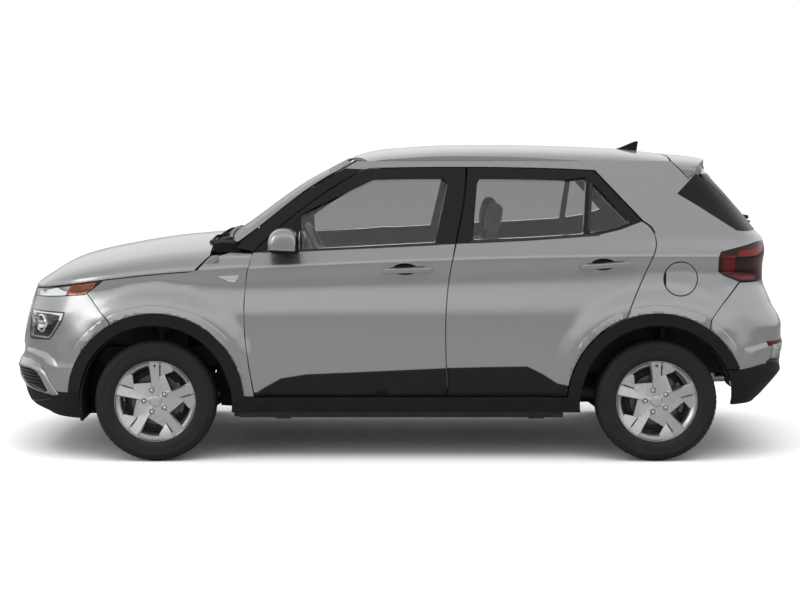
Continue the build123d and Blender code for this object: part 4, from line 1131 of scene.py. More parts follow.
side_panel("side_repeater_bowl", [(-861, 936), (-755, 941), (-763, 920), (-778, 905), (-803, 909)],
           "front_fenders", SHELL, CHROME, lift=0.003, edge=0.001, step=0.012)
repeater = crowned(side_view((-857, 934), (-759, 938), (-767, 920), (-779, 908), (-800, 912)),
                   skin_of("front_fenders"), "left", lift=0.005, crown=0.004, reach=0.012)
pair("side_repeater_lens", *repeater, SHELL, CLEAR)


# --- front bumper: cheeks, wedge frames and slatted corners
bumper_skin = skin_of("front_bumper")
joined_skin = skin_of("front_bumper", "front_lip")
CORNER = [(-440, 421), (-446, 437), (-600, 447), (-660, 449), (-700, 440), (-717, 410), (-731, 350),
          (-722, 344), (-662, 352), (-586, 366), (-528, 388)]
WEDGE = [(-437, 440), (-446, 458), (-610, 480), (-690, 478), (-722, 462), (-742, 436), (-776, 330),
         (-755, 322), (-727, 326), (-640, 336), (-560, 346), (-500, 372), (-437, 412)]
corner = skin_patch(end_view(*CORNER), bumper_skin, "front", lift=0.0015, step=0.02, edge=0.001,
                    sink=0.002)
pair("corner_intake", *corner, SHELL, *GRAINED)
slats = []
for k in range(5):
    z = 434 - 17 * k
    spots = [(y, z) for y in range(-446 - 38 * k, -716 - 2 * k, -15) if within(CORNER, (y, z))]
    if len(spots) > 2:
        slats.append(strip_on("front_bumper", end_view(*spots), "front", half=0.0035, lift=0.007))
pair("corner_slats", *joined(*slats), SHELL, SATIN, "black_plastic")
wedge = crowned(end_view(*WEDGE), joined_skin, "front", lift=0.006, crown=0.006, reach=0.012,
                step=0.014, sink=0.003, edge=0.003, holes=[end_view(*inset(CORNER, -3))])
pair("wedge_frame", *wedge, SHELL, *PAINTED, 50)
CHEEK = [(-470, 492), (-490, 522), (-560, 546), (-660, 552), (-740, 540), (-776, 512), (-798, 474),
         (-797, 455), (-749, 453), (-713, 476), (-640, 496), (-532, 490)]
cheek = crowned(end_view(*CHEEK), bumper_skin, "front", lift=0.0005, crown=0.011, reach=0.035,
                step=0.014, sink=0.002, edge=0.0005)
pair("bumper_cheek", *cheek, SHELL, *PAINTED, 50)
LIP_LINE = end_view((-430, 262), (-560, 272), (-660, 286), (-740, 304))
pair("lip_trim", *strip_on("front_lip", LIP_LINE, "front", half=0.004, lift=0.004), SHELL, SATIN)


# --- grille
GRILLE_EDGE = [(435, 562), (504, 641), (504, 739), (423, 775), (-423, 775), (-504, 739),
               (-504, 641), (-435, 562)]
surround = skin_patch(end_view(*inset(GRILLE_EDGE, -9)), bumper_skin, "front", lift=0.004,
                      holes=[end_view(*inset(GRILLE_EDGE, 1))], step=0.03, edge=0.002, sink=0.004)
piece("grille_surround", *surround, SHELL, CHROME)


# --- painted lips round the wheel arches
LIP_INNER, LIP_OUTER, LIP_HEIGHT = 0.438, 0.488, 0.007


def arch_lip(name, nodes, hub, start, end, body):
    """Raised ring round an arch between two angles from the top; it fades outward."""
    outer, inner = [], []
    for k in range(17):
        angle = math.radians(start + (end - start) * k / 16)
        narrow = max(0.0, abs(math.degrees(angle)) - 52) / 26 * 0.034
        for loop, radius in ((outer, LIP_OUTER - narrow), (inner, LIP_INNER)):
            loop.append((hub.x + radius * math.sin(angle), hub.z + radius * math.cos(angle)))

    def height(u, v):
        radius = math.hypot(u - hub.x, v - hub.z)
        share = min(1.0, max(0.0, (radius - LIP_INNER) / (LIP_OUTER - LIP_INNER)))
        return LIP_HEIGHT * (1 - share) ** 1.3

    lip = crowned(outer + inner[::-1], skin_of(*nodes.split()), "left", lift=0.0007, crown=0,
                  reach=1, step=0.011, sink=0.002, edge=0.0005, height=height)
    pair(name, *lip, body, *PAINTED, 50)


arch_lip("front_arch_lip", "front_fenders", FRONT_HUB, -30.0, 76, SHELL)
arch_lip("bumper_arch_lip", "front_bumper", FRONT_HUB, -76, -33.0, SHELL)
arch_lip("door_arch_lip", "rear_door_left", REAR_HUB, -74, -22.5, "door_rear_{}")
arch_lip("rear_arch_lip", "body_side_left", REAR_HUB, -19, 30.0, SHELL)
arch_lip("rear_bumper_arch_lip", "rear_bumper", REAR_HUB, 33.0, 68, SHELL)


# --- door mirrors: a painted cap, a black base with its foot, and the glass
MIRROR_SIDE = [(-609, 1091), (-604, 1122), (-594, 1150), (-566, 1174), (-531, 1180), (-490, 1178),
               (-468, 1160), (-459, 1127), (-453, 1087), (-449, 1058), (-458, 1046), (-520, 1045),
               (-585, 1050), (-604, 1066)]


def skinned(rows):
    """Closed surface through rows of equal length."""
    count, n = len(rows), len(rows[0])
    return [p for row in rows for p in row], quads(count, n) + end_caps(count, n)


def mirror_housing(grow=0.0):
    """Rounded housing: its side outline shrinks towards the outer and inner ends."""
    middle = (-528, 1113)
    rows = []
    for y, share in ((-984, 0.40), (-982, 0.62), (-976, 0.78), (-962, 0.90), (-940, 0.965),
                     (-912, 1.0), (-876, 1.0), (-856, 0.95), (-845, 0.86), (-840, 0.70)):
        row = []
        for x, z in MIRROR_SIDE:
            back = 0.35 if x > middle[0] else 1.0
            reach = 1 - (1 - share) * back
            spot = at(middle[0] + (x - middle[0]) * reach, y, middle[1] + (z - middle[1]) * share)
            row.append(spot)
        rows.append(row)
    work = bare_object("mirror work", *skinned(rows))
    smoother = work.modifiers.new("smooth", "SUBSURF")
    smoother.levels = smoother.render_levels = 2
    apply_all(work)
    work.data.update()
    return used_up(work, grow)


def beyond(points, faces, *planes):
    """The part of a closed mesh in front of all the planes, closed again."""
    work = bmesh.new()
    corners = [work.verts.new(p) for p in points]
    for f in faces:
        work.faces.new([corners[i] for i in f])
    for place, normal in planes:
        cut = bmesh.ops.bisect_plane(work, geom=work.verts[:] + work.edges[:] + work.faces[:],
                                     dist=ON_PLANE, plane_co=place, plane_no=normal,
                                     clear_inner=True)
        rim = [e for e in cut["geom_cut"] if isinstance(e, bmesh.types.BMEdge)]
        bmesh.ops.contextual_create(work, geom=rim)
    work.verts.index_update()
    out = [v.co.copy() for v in work.verts], [tuple(v.index for v in f.verts) for f in work.faces]
    work.free()
    return out


seam = at(-560, -900, 1066)
cap_up, cap_ahead = Vector((0.04, 0.10, 1.0)).normalized(), Vector((-1, 0, 0.06)).normalized()
cap_shape = beyond(*mirror_housing(0.0018), (seam, cap_up), (at(-466, -900, 1100), cap_ahead))
pair("mirror_cap", *cap_shape, "door_front_{}", *PAINTED, 50)
foot = []
for x, y, z, wide, tall in ((-545, -868, 1064, 42, 18), (-536, -848, 1066, 40, 16),
                            (-520, -826, 1072, 44, 18), (-508, -812, 1076, 50, 22)):
    foot.append([at(x + wide * a, y, z + tall * b) for a, b in ring(1.0, 24)])
shells = pair("mirror_housing", *joined(mirror_housing(), skinned(foot)), "door_front_{}", *GRAINED,
              50)
for thing, name in zip(shells, ("left", "right")):
    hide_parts(f"mirror_{name}")
low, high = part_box("mirror_left")
pane = [[(high.x + proud, low.y + 0.074 + a * 0.062 * share, low.z + 0.076 + b * 0.052 * share)
         for a, b in square_ring(40, 0.55)]
        for share, proud in ((0.86, 0.0002), (0.86, 0.0014), (0.84, 0.0022))]
pair("mirror_glass", *skinned(pane), "door_front_{}", CHROME)
sail = skin_patch(side_view((-655, 1061), (-462, 1236), (-456, 1236), (-452, 1070)),
                  skin_of("front_door_left"), "left", lift=0.005, step=0.03, edge=0.002)
pair("mirror_sail", *sail, "door_front_{}", *GRAINED)


# --- glass borders, cowl and wipers
GLASS_BOX = [(-800, 1060), (-800, 1520), (800, 1520), (800, 1060)]
SCREEN_CLEAR = [(-612, 1150), (-560, 1262), (-500, 1380), (-452, 1440), (-60, 1452), (60, 1452),
                (452, 1440), (500, 1380), (560, 1262), (612, 1150)]
REAR_CLEAR = [(-468, 1150), (-486, 1180), (-462, 1382), (-440, 1396), (440, 1396), (462, 1382),
              (486, 1180), (468, 1150)]
for name, node, clear, view, body in (
        ("windshield_border", "windshield", SCREEN_CLEAR, "front", SHELL),
        ("rear_glass_border", "tailgate_glass", REAR_CLEAR, "rear", "tailgate_lid")):
    border = shell_of(node, end_view(*GLASS_BOX), view, lift=0.0012, depth=0.0012,
                      holes=[end_view(*clear)], facing=0.02)
    piece(name, *border, body, PILLAR)


def wiper(name, pivot, tip, blade_from, blade_to, view, nodes, body, tall=1.0):
    """Arm from its spindle to the middle of a blade that lies on the glass."""
    target = skin_of(*nodes.split())
    way = VIEWS[view][1]
    line = [on_skin(target, view, *p, 0.012) for p in dense_line([blade_from, blade_to], 0.03)]
    rubber = swept(line, [(0.003, -0.010), (0.006, 0.002), (0.002, 0.008), (-0.002, 0.008),
                          (-0.006, 0.002), (-0.003, -0.010)], up=-way)
    arm_line = [on_skin(target, view, *p, 0.016 + 0.002 * k)
                for k, p in enumerate(reversed(dense_line([pivot, tip], 0.06)))]
    arm = swept(arm_line, [(0.007, -0.003), (0.007, 0.003), (-0.007, 0.003), (-0.007, -0.003)],
                up=-way, scale=[0.6 + 0.6 * k / len(arm_line) for k in range(len(arm_line))])
    knob, knob_faces = turned([(NEAR_AXIS, -0.034 * tall), (0.010, -0.032 * tall),
                               (0.014, -0.022 * tall), (0.017, 0.0), (NEAR_AXIS, 0.0)], 24)
    base = on_skin(target, view, *pivot)
    turn = way.to_track_quat("Y", "Z").to_matrix().to_4x4()
    cap = [Matrix.Translation(base) @ turn @ Vector(p) for p in knob]
    return piece(name, *joined(rubber, arm, (cap, knob_faces)), body, SATIN, None, 40)


wiper("wiper_left", (-0.52, 1.084), (-0.22, 1.108), (-0.56, 1.096), (0.02, 1.116), "front",
      "windshield cowl", SHELL)
wiper("wiper_right", (0.10, 1.088), (0.34, 1.108), (0.06, 1.108), (0.52, 1.104), "front",
      "windshield cowl", SHELL)
wiper("rear_wiper", (0.0, 1.188), (-0.20, 1.186), (-0.36, 1.176), (-0.02, 1.172), "rear",
      "tailgate_glass", "tailgate_lid", 2.3)
vents = []
for k in range(44):
    y = -0.62 + 1.24 * k / 43
    vents.append(swept([(at(-880, 0, 0).x, y, 1.0935), (at(-800, 0, 0).x, y, 1.0965)],
                       [(0.003, 0.0), (0.002, 0.0035), (-0.002, 0.0035), (-0.003, 0.0)]))
piece("cowl_grating", *joined(*vents), SHELL, SATIN)


# --- tail lamps
covers = piece("tail_lamp_covers", *lens_cover("tail_lamps", lambda normal: normal.x > 0.4,
               0.003), SHELL, RED, "red_lens")
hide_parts("tail_lamps")
TAIL_BOX = [(1500, 860), (2000, 860), (2000, 1130), (1500, 1130)]
for row in (
        ("tail_lamp_housing", TAIL_BOX, SATIN, -0.030, 0.036),
        ("tail_lamp_block", [(1668, 1030), (1735, 1036), (1737, 950), (1671, 953)], CHROME,
         -0.010, 0.016),
        ("tail_lamp_upper", [(1752, 1034), (1754, 1060), (1876, 1068), (1908, 1050), (1908, 1028),
                             (1867, 1030)], CHROME, -0.010, 0.016),
        ("tail_lamp_lower", [(1712, 938), (1800, 930), (1908, 930), (1908, 912), (1770, 912)],
         CHROME, -0.010, 0.016),
        ("tail_lamp_rim", TAIL_BOX, SATIN, -0.0004, 0.005,
         [[(1657, 1040), (1760, 1072), (1850, 1088), (1904, 1082), (1908, 1000), (1904, 914),
           (1762, 914), (1684, 938), (1657, 952)]])):
    lamp_layer(*row, nodes="tail_lamps")


# --- rear bumper and tailgate
side_tail = skin_of("rear_bumper")
LEDGE = [(-834, 575), (-820, 580), (-766, 594), (-700, 600), (0, 606), (700, 600), (766, 594),
         (820, 580), (834, 575), (840, 500), (832, 474), (760, 482), (715, 505), (700, 522),
         (0, 524), (-700, 522), (-715, 505), (-760, 482), (-832, 474), (-840, 500)]
step = crowned(end_view(*LEDGE), side_tail, "rear", lift=0.001, crown=0.009, reach=0.012, step=0.02,
               sink=0.002, edge=0.001)
piece("rear_bumper_step", *step, SHELL, *PAINTED, 50)
REFLECTOR = [(-748, 591), (-640, 596), (-640, 500), (-660, 492), (-754, 500)]
rear_end = skin_of("rear_bumper", "rear_valance")
reflector = crowned(end_view(*inset(REFLECTOR, 12)), rear_end, "rear", lift=0.010, crown=0.004,
                    reach=0.02, step=0.015, sink=0.002, edge=0.002)
pair("rear_reflector", *reflector, SHELL, ZINC)
back = skin_patch(end_view(*inset(REFLECTOR, 15)), rear_end, "rear", lift=0.0145, step=0.015,
                  edge=0.001, sink=0.0)
pair("rear_reflector_lens", *back, SHELL, CLEAR)
frame_back = skin_patch(end_view(*inset(REFLECTOR, -8)), rear_end, "rear", lift=0.0098, step=0.02,
                        edge=0.002, sink=0.002)
pair("rear_reflector_frame", *frame_back, SHELL, RED)
gate_skin = skin_of("tailgate")
for name, high, low_edge, wide, narrow, lift, edge, sink, look in (
        ("plate_recess", 905, 775, 290, 270, 0.002, 0.002, 0.002, GRAINED),
        ("blank_plate", 880, 800, 156, 156, 0.008, 0.001, -0.002, (ALLOY,))):
    outline = end_view((-wide, high), (wide, high), (narrow, low_edge), (-narrow, low_edge))
    patch = skin_patch(outline, gate_skin, "rear", lift=lift, step=0.03, edge=edge, sink=sink)
    piece(name, *patch, "tailgate_lid", *look)
grip = crowned(end_view((-300, 940), (300, 940), (280, 908), (-280, 908)), gate_skin, "rear",
               lift=0.006, crown=0.012, reach=0.014, step=0.02, sink=0.002, edge=0.002)
piece("tailgate_grip", *grip, "tailgate_lid", *PAINTED, 50)
spoiler_rear = skin_patch(end_view((-170, 1466), (170, 1466), (165, 1450), (-165, 1450)), gate_skin,
                          "rear", lift=0.004, step=0.02, edge=0.002, sink=0.002)
piece("high_brake_lamp", *spoiler_rear, "tailgate_lid", RED)


# --- corner fillings, and splash shields beside the wheels and under the nose
def prism(outline, near, far):
    """Solid with a side-view outline in millimetres between two widths."""
    points = [at(x, near, z) for x, z in outline] + [at(x, far, z) for x, z in outline]
    n = len(outline)
    return points, [tuple(range(n)), tuple(range(2 * n - 1, n - 1, -1))] + quads(2, n)


FENDER_CORNER = [(-968, 958), (-914, 985), (-864, 1010), (-859, 1040), (-894, 1036), (-912, 1018),
                 (-962, 969)]
fill = prism(FENDER_CORNER, -838, -806)
for thing in pair("fender_corner", *fill, SHELL, *PAINTED):
    soften(thing, width=0.003, segments=2)
SPOILER_CORNER = [(1541, 1478), (1581, 1481), (1596, 1473), (1603, 1456), (1597, 1436),
                  (1583, 1418), (1566, 1412), (1548, 1430)]
lobe = prism(SPOILER_CORNER, -515, -420)
for thing in pair("spoiler_corner", *lobe, "tailgate_lid", *PAINTED):
    soften(thing, width=0.006, segments=3)


shield_parts = [prism(*part) for part in (
    ([(-1760, 300), (-1560, 190), (-1470, 190), (-1470, 430), (-1560, 520), (-1760, 520)],
     -484, -480),
    ([(-905, 420), (-880, 232), (-800, 228), (-800, 620), (-905, 620)], -484, -480),
    ([(-1572, 194), (-1560, 190), (-1560, 330), (-1572, 330)], -760, -484))]
for thing in pair("splash_shield", *joined(*shield_parts), SHELL, *GRAINED):
    soften(thing, width=0.001, segments=1)


# --- padded seats
SEAM_WIDTH, SEAM_DEPTH = 0.008, 0.011
CLOTH_STEPS = 20


def inflated(work):
    """Blows a closed work mesh up as cloth under pressure."""
    cloth = work.modifiers.new("cloth", "CLOTH")
    cloth.settings.use_pressure = True
    cloth.settings.uniform_pressure_force = 4.0
    cloth.settings.effector_weights.gravity = 0.0
    cloth.point_cache.frame_start, cloth.point_cache.frame_end = 1, CLOTH_STEPS
    for step_number in range(1, CLOTH_STEPS + 1):
        bpy.context.scene.frame_set(step_number)
    apply_all(work)
    bpy.context.scene.frame_set(1)


def cushion_mesh(volumes, voxel, most, seams=()):
    """Closed crowned pad: joined volumes, relaxed and inflated, with seams drawn in.

    A seam is (axis, place on it, way that it faces, other axis, from, to).
    """
    work = bare_object("cushion work", *joined(*volumes))
    skin = work.modifiers.new("skin", "REMESH")
    skin.mode, skin.voxel_size = "VOXEL", voxel
    relaxed = work.modifiers.new("relaxed", "SMOOTH")
    relaxed.factor, relaxed.iterations = 0.5, 8
    apply_all(work)
    start = [v.co.copy() for v in work.data.vertices]
    inflated(work)
    for v, before in zip(work.data.vertices, start):
        moved = v.co - before
        if moved.length > most:
            v.co = before + moved.normalized() * most
    work.data.update()
    normals = [v.normal.copy() for v in work.data.vertices]
    for v, normal in zip(work.data.vertices, normals):
        pull = 0.0
        for axis, value, facing, other, low, high in seams:
            if normal.dot(Vector(facing)) > 0.25 and low < v.co[other] < high:
                pull = max(pull, math.exp(-((v.co[axis] - value) / SEAM_WIDTH) ** 2))
        v.co -= normal * SEAM_DEPTH * pull
    return used_up(work)


def upholstered(name, shapes):
    thing = piece(name, *shapes, SHELL, CLOTH, "seat_fabric", 80)
    return thing


def bolster(start, middle, end, radius, squash=0.9):
    path = [Vector(start).lerp(Vector(middle), k / 4) for k in range(4)]
    path += [Vector(middle).lerp(Vector(end), k / 4) for k in range(5)]
    return swept(path, ring(radius, 14, squash), up=(0, 1, 0))


TOP, FORWARD = (0, 0, 1), (-1, 0, 0.2)
SEAT_MIDDLE = at(60, 0, 0).x
CROSS_SEAMS = (SEAT_MIDDLE, SEAT_MIDDLE - 0.12)
SEAT_CUSHION = cushion_mesh(
    [prism([(-172, 405), (-180, 440), (-164, 474), (-100, 484), (120, 468), (300, 472), (318, 462),
            (318, 400)], -545, -165),
     *[bolster(at(-150, y, 452), at(60, y, 466), at(296, y, 466), 0.026) for y in (-563, -147)]],
    voxel=0.009, most=0.022, seams=[*[(1, y, TOP, 0, -9, 9) for y in (-0.520, -0.190)],
                                    *[(0, x, TOP, 1, -0.520, -0.190) for x in CROSS_SEAMS]])
SEAT_BACK = cushion_mesh(
    [prism([(292, 462), (372, 462), (534, 1050), (516, 1074), (478, 1078), (456, 1060)],
           -535, -175),
     *[bolster(at(310, low, 490), at(372, middle, 740), at(452, top, 1000), 0.034)
       for low, middle, top in ((-548, -552, -540), (-162, -158, -170))]],
    voxel=0.009, most=0.022, seams=[*[(1, y, FORWARD, 2, 0, 9) for y in (-0.505, -0.205)],
                                    *[(2, z, FORWARD, 1, -0.505, -0.205) for z in (0.66, 0.90)]])
HEAD_PAD = cushion_mesh([prism([(492, 1130), (550, 1116), (584, 1258), (568, 1276), (534, 1280),
                                (518, 1266)], -445, -265)], voxel=0.007, most=0.014)
BENCH = cushion_mesh(
    [prism([(752, 475), (748, 556), (766, 580), (1000, 576), (1180, 552), (1186, 475)], -470, 470),
     prism([(752, 475), (748, 556), (766, 580), (925, 578), (925, 475)], -592, 592)],
    voxel=0.013, most=0.022, seams=[*[(1, y, TOP, 0, -9, 9) for y in (-0.19, 0.19)],
                                    (0, 0.86, TOP, 1, -9, 9)])
BENCH_BACK = cushion_mesh(
    [prism([(1196, 600), (1280, 600), (1318, 760), (1222, 760)], -470, 470),
     prism([(1216, 745), (1306, 745), (1378, 1052), (1360, 1074), (1330, 1076), (1308, 1056)],
           -572, 572)],
    voxel=0.013, most=0.022, seams=[*[(1, y, FORWARD, 2, 0, 9) for y in (-0.19, 0.19, -0.47, 0.47)],
                                    (2, 0.86, FORWARD, 1, -9, 9)])
BENCH_HEAD = cushion_mesh([prism([(1340, 1100), (1388, 1094), (1406, 1182), (1394, 1194),
                                  (1370, 1196), (1360, 1186)], -425, -235)], voxel=0.008,
                          most=0.012)
for side, where in SIDE_NAMES.items():
    for label, (points, faces), fill in (("cushion", SEAT_CUSHION, 0.85), ("back", SEAT_BACK, 0.8),
                                         ("head_rest", HEAD_PAD, 0.9)):
        points = points if side == LEFT else mirrored(points)
        upholstered(f"front_seat_{label}_{where}", (points, faces))
    if side == LEFT:
        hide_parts("front_seats")
    points = BENCH_HEAD[0] if side == LEFT else mirrored(BENCH_HEAD[0])
    upholstered(f"rear_head_rest_{where}", (points, BENCH_HEAD[1]))
bench = upholstered("rear_bench_cushion", BENCH)
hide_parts("rear_seat")
upholstered("rear_bench_back", BENCH_BACK)
seat_sides = joined(prism([(-150, 350), (-172, 396), (-120, 412), (290, 410), (322, 396),
                           (330, 350)], -560, -150),
                    prism([(398, 470), (408, 470), (556, 1030), (546, 1040)], -530, -180))
for thing in pair("seat_shell", *seat_sides, SHELL, *GRAINED):
    soften(thing, width=0.008, segments=3)
rails = joined(*[prism([(-180, 332), (-180, 350), (328, 350), (328, 332)], y - 14, y + 14)
                 for y in (-520, -190)])
for thing in pair("seat_rails", *rails, SHELL, IRON):
    soften(thing, width=0.002)
stems = joined(*[swept([at(x, y, z), at(x + 16, y, z + 45), at(x + 34, y, z + 90)],
                       ring(0.0055, 12), up=(0, 1, 0))
                 for x, y, z in ((496, -310, 1060), (496, -400, 1060), (1340, -290, 1050),
                                 (1340, -370, 1050))])
pair("head_rest_stems", *stems, SHELL, SATIN)
lever = swept([at(40, -585, 395), at(160, -588, 402), at(230, -586, 420)], ring(0.011, 12, 0.6),
              up=(0, 1, 0))
pair("seat_lever", *lever, SHELL, *GRAINED)


# --- steering wheel and dashboard
TILT = math.radians(26)
WHEEL_AXIS = Vector((math.cos(TILT), 0, math.sin(TILT)))
WHEEL_UP = Vector((-math.sin(TILT), 0, math.cos(TILT)))


def on_wheel(across, up, out):
    """Point in the steering wheel's own plane, in metres."""
    return HAND_WHEEL + Vector((0, 1, 0)) * across + WHEEL_UP * up + WHEEL_AXIS * out


def wheel_turned(profile, steps):
    points, faces = turned(profile, steps)
    return [on_wheel(x, z, y) for x, y, z in points], faces


rim_profile = [(0.178 + 0.0135 * a, 0.0155 * b) for a, b in ring(1.0, 18)]
grip = piece("hand_wheel_rim", *wheel_turned(rim_profile, 96), "hand_wheel", *INNER_LEATHER, 60)
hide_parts("steering_wheel")
arms = []
for across, up in ((-1.0, 0.10), (1.0, 0.10), (-0.22, -1.0), (0.22, -1.0)):
    way = Vector((across, up)).normalized()
    path = [on_wheel(way.x * r, way.y * r, d)
            for r, d in ((0.03, 0.012), (0.08, 0.014), (0.13, 0.006), (0.172, 0.0))]
    arms.append(swept(path, ring(0.020, 16, 0.42), up=WHEEL_AXIS, scale=[1.5, 1.1, 0.85, 0.75]))
soften(piece("hand_wheel_spokes", *joined(*arms), "hand_wheel", *INNER_SATIN, 50), width=0.002)
pad_rows = [[on_wheel(x * 0.068 * share, y * 0.055 * share - 0.004, out)
             for x, y in square_ring(36, 0.7)]
            for share, out in ((1.0, -0.022), (1.0, 0.012), (0.96, 0.020), (0.84, 0.0255),
                               (0.5, 0.029), (0.05, 0.030))]
piece("hand_wheel_pad", *skinned(pad_rows), "hand_wheel", *INNER, 50)
stalks = []
for way in (-1, 1):
    root = on_wheel(0.03 * way, 0.0, -0.07)
    bend, tip = Vector((0.0, 0.07 * way, 0.012)), Vector((0.02, 0.155 * way, 0.02))
    stalks.append(swept([root, root + bend, root + tip], ring(0.008, 12, 0.8), scale=[1, 1, 1.4]))
piece("column_stalks", *joined(*stalks), SHELL, SATIN, "black_plastic", 50)
shroud = swept([on_wheel(0, 0, -0.035), on_wheel(0, 0, -0.09), on_wheel(0, 0.01, -0.17)],
               ring(0.052, 28, 0.85), up=(0, 0, 1), scale=[0.9, 1.1, 1.2])
piece("column_shroud", *shroud, SHELL, *INNER, 40)


def rounded_slab(center, across, upward, normal, power=0.35, steps=40, edge=0.15):
    """Flat rounded block: half-size vectors across, upward and along its normal."""
    return skinned([[center + across * x * share + upward * y * share + normal * depth
                     for x, y in square_ring(steps, power)]
                    for share, depth in ((1 - edge, -1.0), (1.0, -0.7), (1.0, 0.7),
                                         (1 - edge, 1.0))])


Y, Z = Vector((0, 1, 0)), Vector((0, 0, 1))
LEAN = Vector((0.28, 0, -0.96)).normalized()
FACE = Vector((0.96, 0, 0.28)).normalized()
screen_box = rounded_slab(at(-462, 0, 1052), Y * 0.118, -LEAN * 0.062, FACE * 0.010, power=0.3,
                          steps=48, edge=0.04)
piece("centre_screen", *screen_box, SHELL, PILLAR, "cabin_plastic", 40)
hood_line = [at(-470, -370 + 150 * math.cos(a), 1040 + 62 * math.sin(a))
             for a in (math.pi * k / 14 for k in range(15))]
hood = swept(hood_line, [(0.055, -0.004), (0.055, 0.004), (-0.060, 0.006), (-0.060, -0.006)],
             up=(1, 0, 0))
piece("instrument_hood", *hood, SHELL, *INNER, 50)
dials = []
for y in (-430, -310):
    dials.append(facing_front([(0.0, -0.004), (0.046, -0.004), (0.050, -0.012), (0.052, -0.004),
                               (0.052, 0.004), (0.0, 0.004)], at(-452, y, 1040), 0))
piece("instrument_dials", *joined(*dials), SHELL, *INNER_SATIN)
vent_parts = []
for y in (-590, -175, 175, 590):
    vent_parts.append(rounded_slab(at(-446, y, 975), Y * 0.052, Z * 0.034, FACE * 0.012, power=0.4))
    for k in range(4):
        z = 957 + 12 * k
        vent_parts.append(rounded_slab(at(-434, y, z), Y * 0.046, Z * 0.0016, FACE * 0.006,
                                       power=0.5, steps=16))
piece("air_vents", *joined(*vent_parts), SHELL, *INNER_SATIN, 40)
knobs = [facing_front([(0.0, -0.022), (0.018, -0.021), (0.021, -0.016), (0.023, 0.0), (0.0, 0.0)],
                      at(-490, y, 850), 0) for y in (-75, 0, 75)]
piece("climate_knobs", *joined(*knobs), SHELL, *INNER_SATIN, 40)
glove = rounded_slab(at(-462, 400, 880), Y * 0.19, LEAN * 0.075, FACE * 0.006, power=0.25, steps=48,
                     edge=0.03)
piece("glove_box_lid", *glove, SHELL, *INNER, 40)


def upright(rows):
    """Rings about the gear lever: rows of (height, reach along X, reach along Y)."""
    return skinned([[at(-330, 0, z) + Vector((wide * a, deep * b, 0)) for a, b in ring(1.0, 28)]
                    for z, wide, deep in rows])


boot_rows = [(z, 0.055 * s, 0.045 * s) for z, s in (
    (562, 1.0), (575, 0.92), (590, 0.7), (604, 0.5), (622, 0.3), (640, 0.2))]
piece("gear_boot", *upright(boot_rows), SHELL, *INNER_LEATHER, 60)
knob_rows = [(z, r, r) for z, r in (
    (632, 0.008), (660, 0.008), (668, 0.016), (680, 0.023), (696, 0.026), (710, 0.024),
    (720, 0.014), (722, 0.001))]
piece("gear_knob", *upright(knob_rows), SHELL, *INNER_SATIN, 60)
brake = swept([at(40, 20, 566), at(-10, 20, 590), at(-120, 20, 622), at(-160, 20, 630)],
              ring(0.013, 16), up=(0, 1, 0), scale=[1, 1, 1.25, 0.9])
piece("hand_brake", *brake, SHELL, *INNER, 50)
arm_rest = rounded_slab(at(250, 0, 606), Vector((0.13, 0, 0)), Y * 0.075, Z * 0.045, power=0.3,
                        steps=40, edge=0.12)
piece("centre_arm_rest", *arm_rest, SHELL, *INNER_LEATHER, 50)
pedal_parts = []
for y, wide, z in ((-450, 0.03, 420), (-370, 0.035, 420), (-290, 0.026, 400)):
    pedal_parts.append(rounded_slab(at(-650, y, z), Y * wide, LEAN * 0.04, FACE * 0.008, power=0.3,
                                    steps=24))
    pedal_parts.append(swept([at(-655, y, z + 20), at(-700, y, z + 140), at(-760, y, z + 260)],
                             ring(0.008, 8), up=(0, 1, 0)))
piece("pedals", *joined(*pedal_parts), SHELL, STEEL, "black_steel")
view_mirror = joined(rounded_slab(at(-420, 0, 1322), Y * 0.118, Z * 0.032,
                                  Vector((0.012, 0, 0.002)), power=0.45, steps=40),
                     swept([at(-432, 0, 1330), at(-446, 0, 1362), at(-440, 0, 1384)],
                           ring(0.009, 12), up=(0, 1, 0)))
piece("inner_mirror", *view_mirror, SHELL, *INNER_SATIN, 50)


# --- door trims
door_inner = skin_of("front_door_left")
rest = crowned(side_view((-560, 742), (-300, 690), (150, 690), (230, 730), (236, 800), (120, 812),
                         (-240, 824), (-540, 862)), door_inner, "cabin", lift=0.012, crown=0.034,
               reach=0.05, step=0.02, sink=0.002, edge=0.003)
pair("front_arm_rest", *rest, "door_front_{}", *INNER, 50)
pull = crowned(side_view((-330, 880), (-200, 880), (-190, 925), (-320, 935)), door_inner, "cabin",
               lift=0.004, crown=0.012, reach=0.015, step=0.012)
pair("front_inner_handle", *pull, "door_front_{}", CHROME)
speaker_ring = crowned(side_view(*[(-540 + 85 * a, 540 + 85 * b) for a, b in ring(1.0, 28)]),
                       door_inner, "cabin", lift=0.004, crown=0.010, reach=0.03, step=0.02)
pair("door_speaker", *speaker_ring, "door_front_{}", *INNER_SATIN)
door_inner = skin_of("rear_door_left")
rest = crowned(side_view((350, 742), (900, 742), (930, 790), (900, 836), (350, 836)), door_inner,
               "cabin", lift=0.012, crown=0.030, reach=0.04, step=0.02, sink=0.002, edge=0.003)
pair("rear_arm_rest", *rest, "door_rear_{}", *INNER, 50)


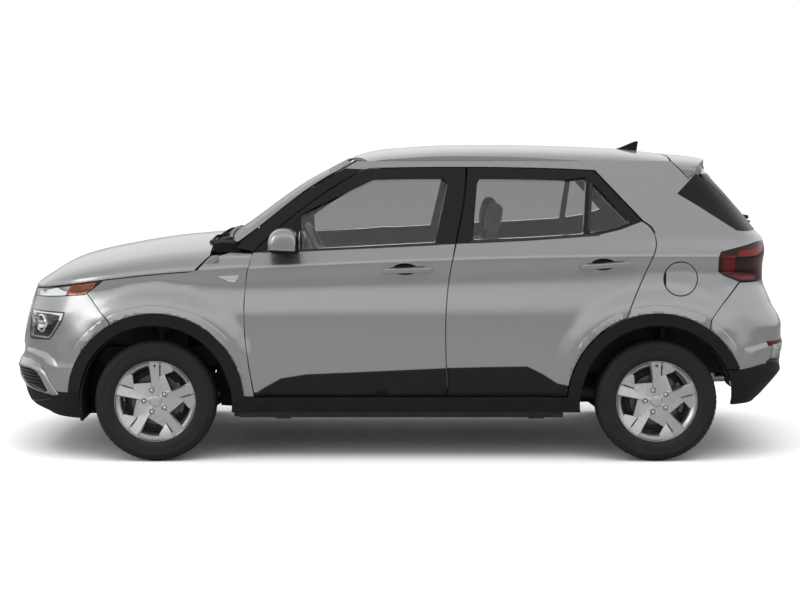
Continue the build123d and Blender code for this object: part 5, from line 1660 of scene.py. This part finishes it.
# --- stage, lights and camera
FLOOR_HALF = 400.0
floor = bpy.data.meshes.new("floor")
floor.from_pydata([(-FLOOR_HALF, -FLOOR_HALF, 0), (FLOOR_HALF, -FLOOR_HALF, 0),
                   (FLOOR_HALF, FLOOR_HALF, 0), (-FLOOR_HALF, FLOOR_HALF, 0)], [], [(0, 1, 2, 3)])
floor = new_object("floor", floor)
floor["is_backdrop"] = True
mat, tree, shader = finish_material("pale floor", (0.9, 0.9, 0.9), 0.8, Specular_IOR_Level=0.0)
eye_rays = add(tree, "LightPath").outputs["Is Camera Ray"]
tree.links.new(mix_color(tree, eye_rays, (0.34, 0.34, 0.34, 1), (0.97, 0.97, 0.97, 1)),
               shader.inputs["Base Color"])
spread = add(tree, "VectorMath", {"operation": "LENGTH"},
             _0=add(tree, "TexCoord").outputs["Object"])
far = add(tree, "MapRange", Value=spread.outputs["Value"], From_Min=4.5, From_Max=14.0, To_Max=0.4)
tree.links.new(math_node(tree, "MULTIPLY", far.outputs[0], eye_rays),
               shader.inputs["Emission Color"])
shader.inputs["Emission Strength"].default_value = 1.0
floor.data.materials.append(mat)


def studio_sky():
    """Pale background for the camera, and a brighter overhead than horizon for the car."""
    world = bpy.data.worlds.new("studio sky")
    bpy.context.scene.world = world
    world.use_nodes = True
    tree = world.node_tree
    back = tree.nodes["Background"]
    way = add(tree, "SeparateXYZ", Vector=add(tree, "TexCoord").outputs["Generated"])
    ramp = add(tree, "ValToRGB", Fac=way.outputs["Z"])
    stops = ramp.color_ramp.elements
    while len(stops) < 4:
        stops.new(1.0)
    for stop, (place, shade) in zip(stops, ((0.0, 0.45), (0.07, 0.92), (0.35, 0.95), (0.8, 0.56))):
        stop.position = place
        stop.color = (shade, shade * 1.006, shade * 1.012, 1)
    rays = add(tree, "LightPath")
    seen = math_node(tree, "MAXIMUM", rays.outputs["Is Camera Ray"],
                     rays.outputs["Is Transmission Ray"])
    tree.links.new(mix_color(tree, seen, ramp.outputs["Color"], (1.0, 1.0, 1.0, 1)),
                   back.inputs["Color"])
    back.inputs["Strength"].default_value = 1.0


def soft_light(name, place, aim, width, height, watts, mirrored=True):
    lamp = bpy.data.lights.new(name, "AREA")
    lamp.shape = "RECTANGLE"
    lamp.size, lamp.size_y, lamp.energy = width, height, watts
    holder = new_object(name, lamp)
    holder.visible_glossy = mirrored
    holder.location = place
    holder.rotation_euler = (Vector(aim) - Vector(place)).to_track_quat("-Z", "Y").to_euler()


studio_sky()
soft_light("overhead softbox", (0.0, -1.5, 6.0), (0, -0.4, 0.6), width=11.0, height=9.0, watts=620,
           mirrored=False)
soft_light("front softbox", (-6.5, -5.5, 3.6), (-0.5, 0, 0.6), width=4.0, height=3.0, watts=90)

bpy.context.scene.view_settings.view_transform = "Standard"
camera = new_object("camera", bpy.data.cameras.new("camera"))
camera.location = (0.0143, -10.85, 1.756)
LOOKS_DOWN = 5.366
camera.rotation_euler = (math.radians(90 - LOOKS_DOWN), 0, 0)
camera.data.sensor_width = 36.0
camera.data.lens = 90.39
bpy.context.scene.camera = camera

low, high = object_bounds()
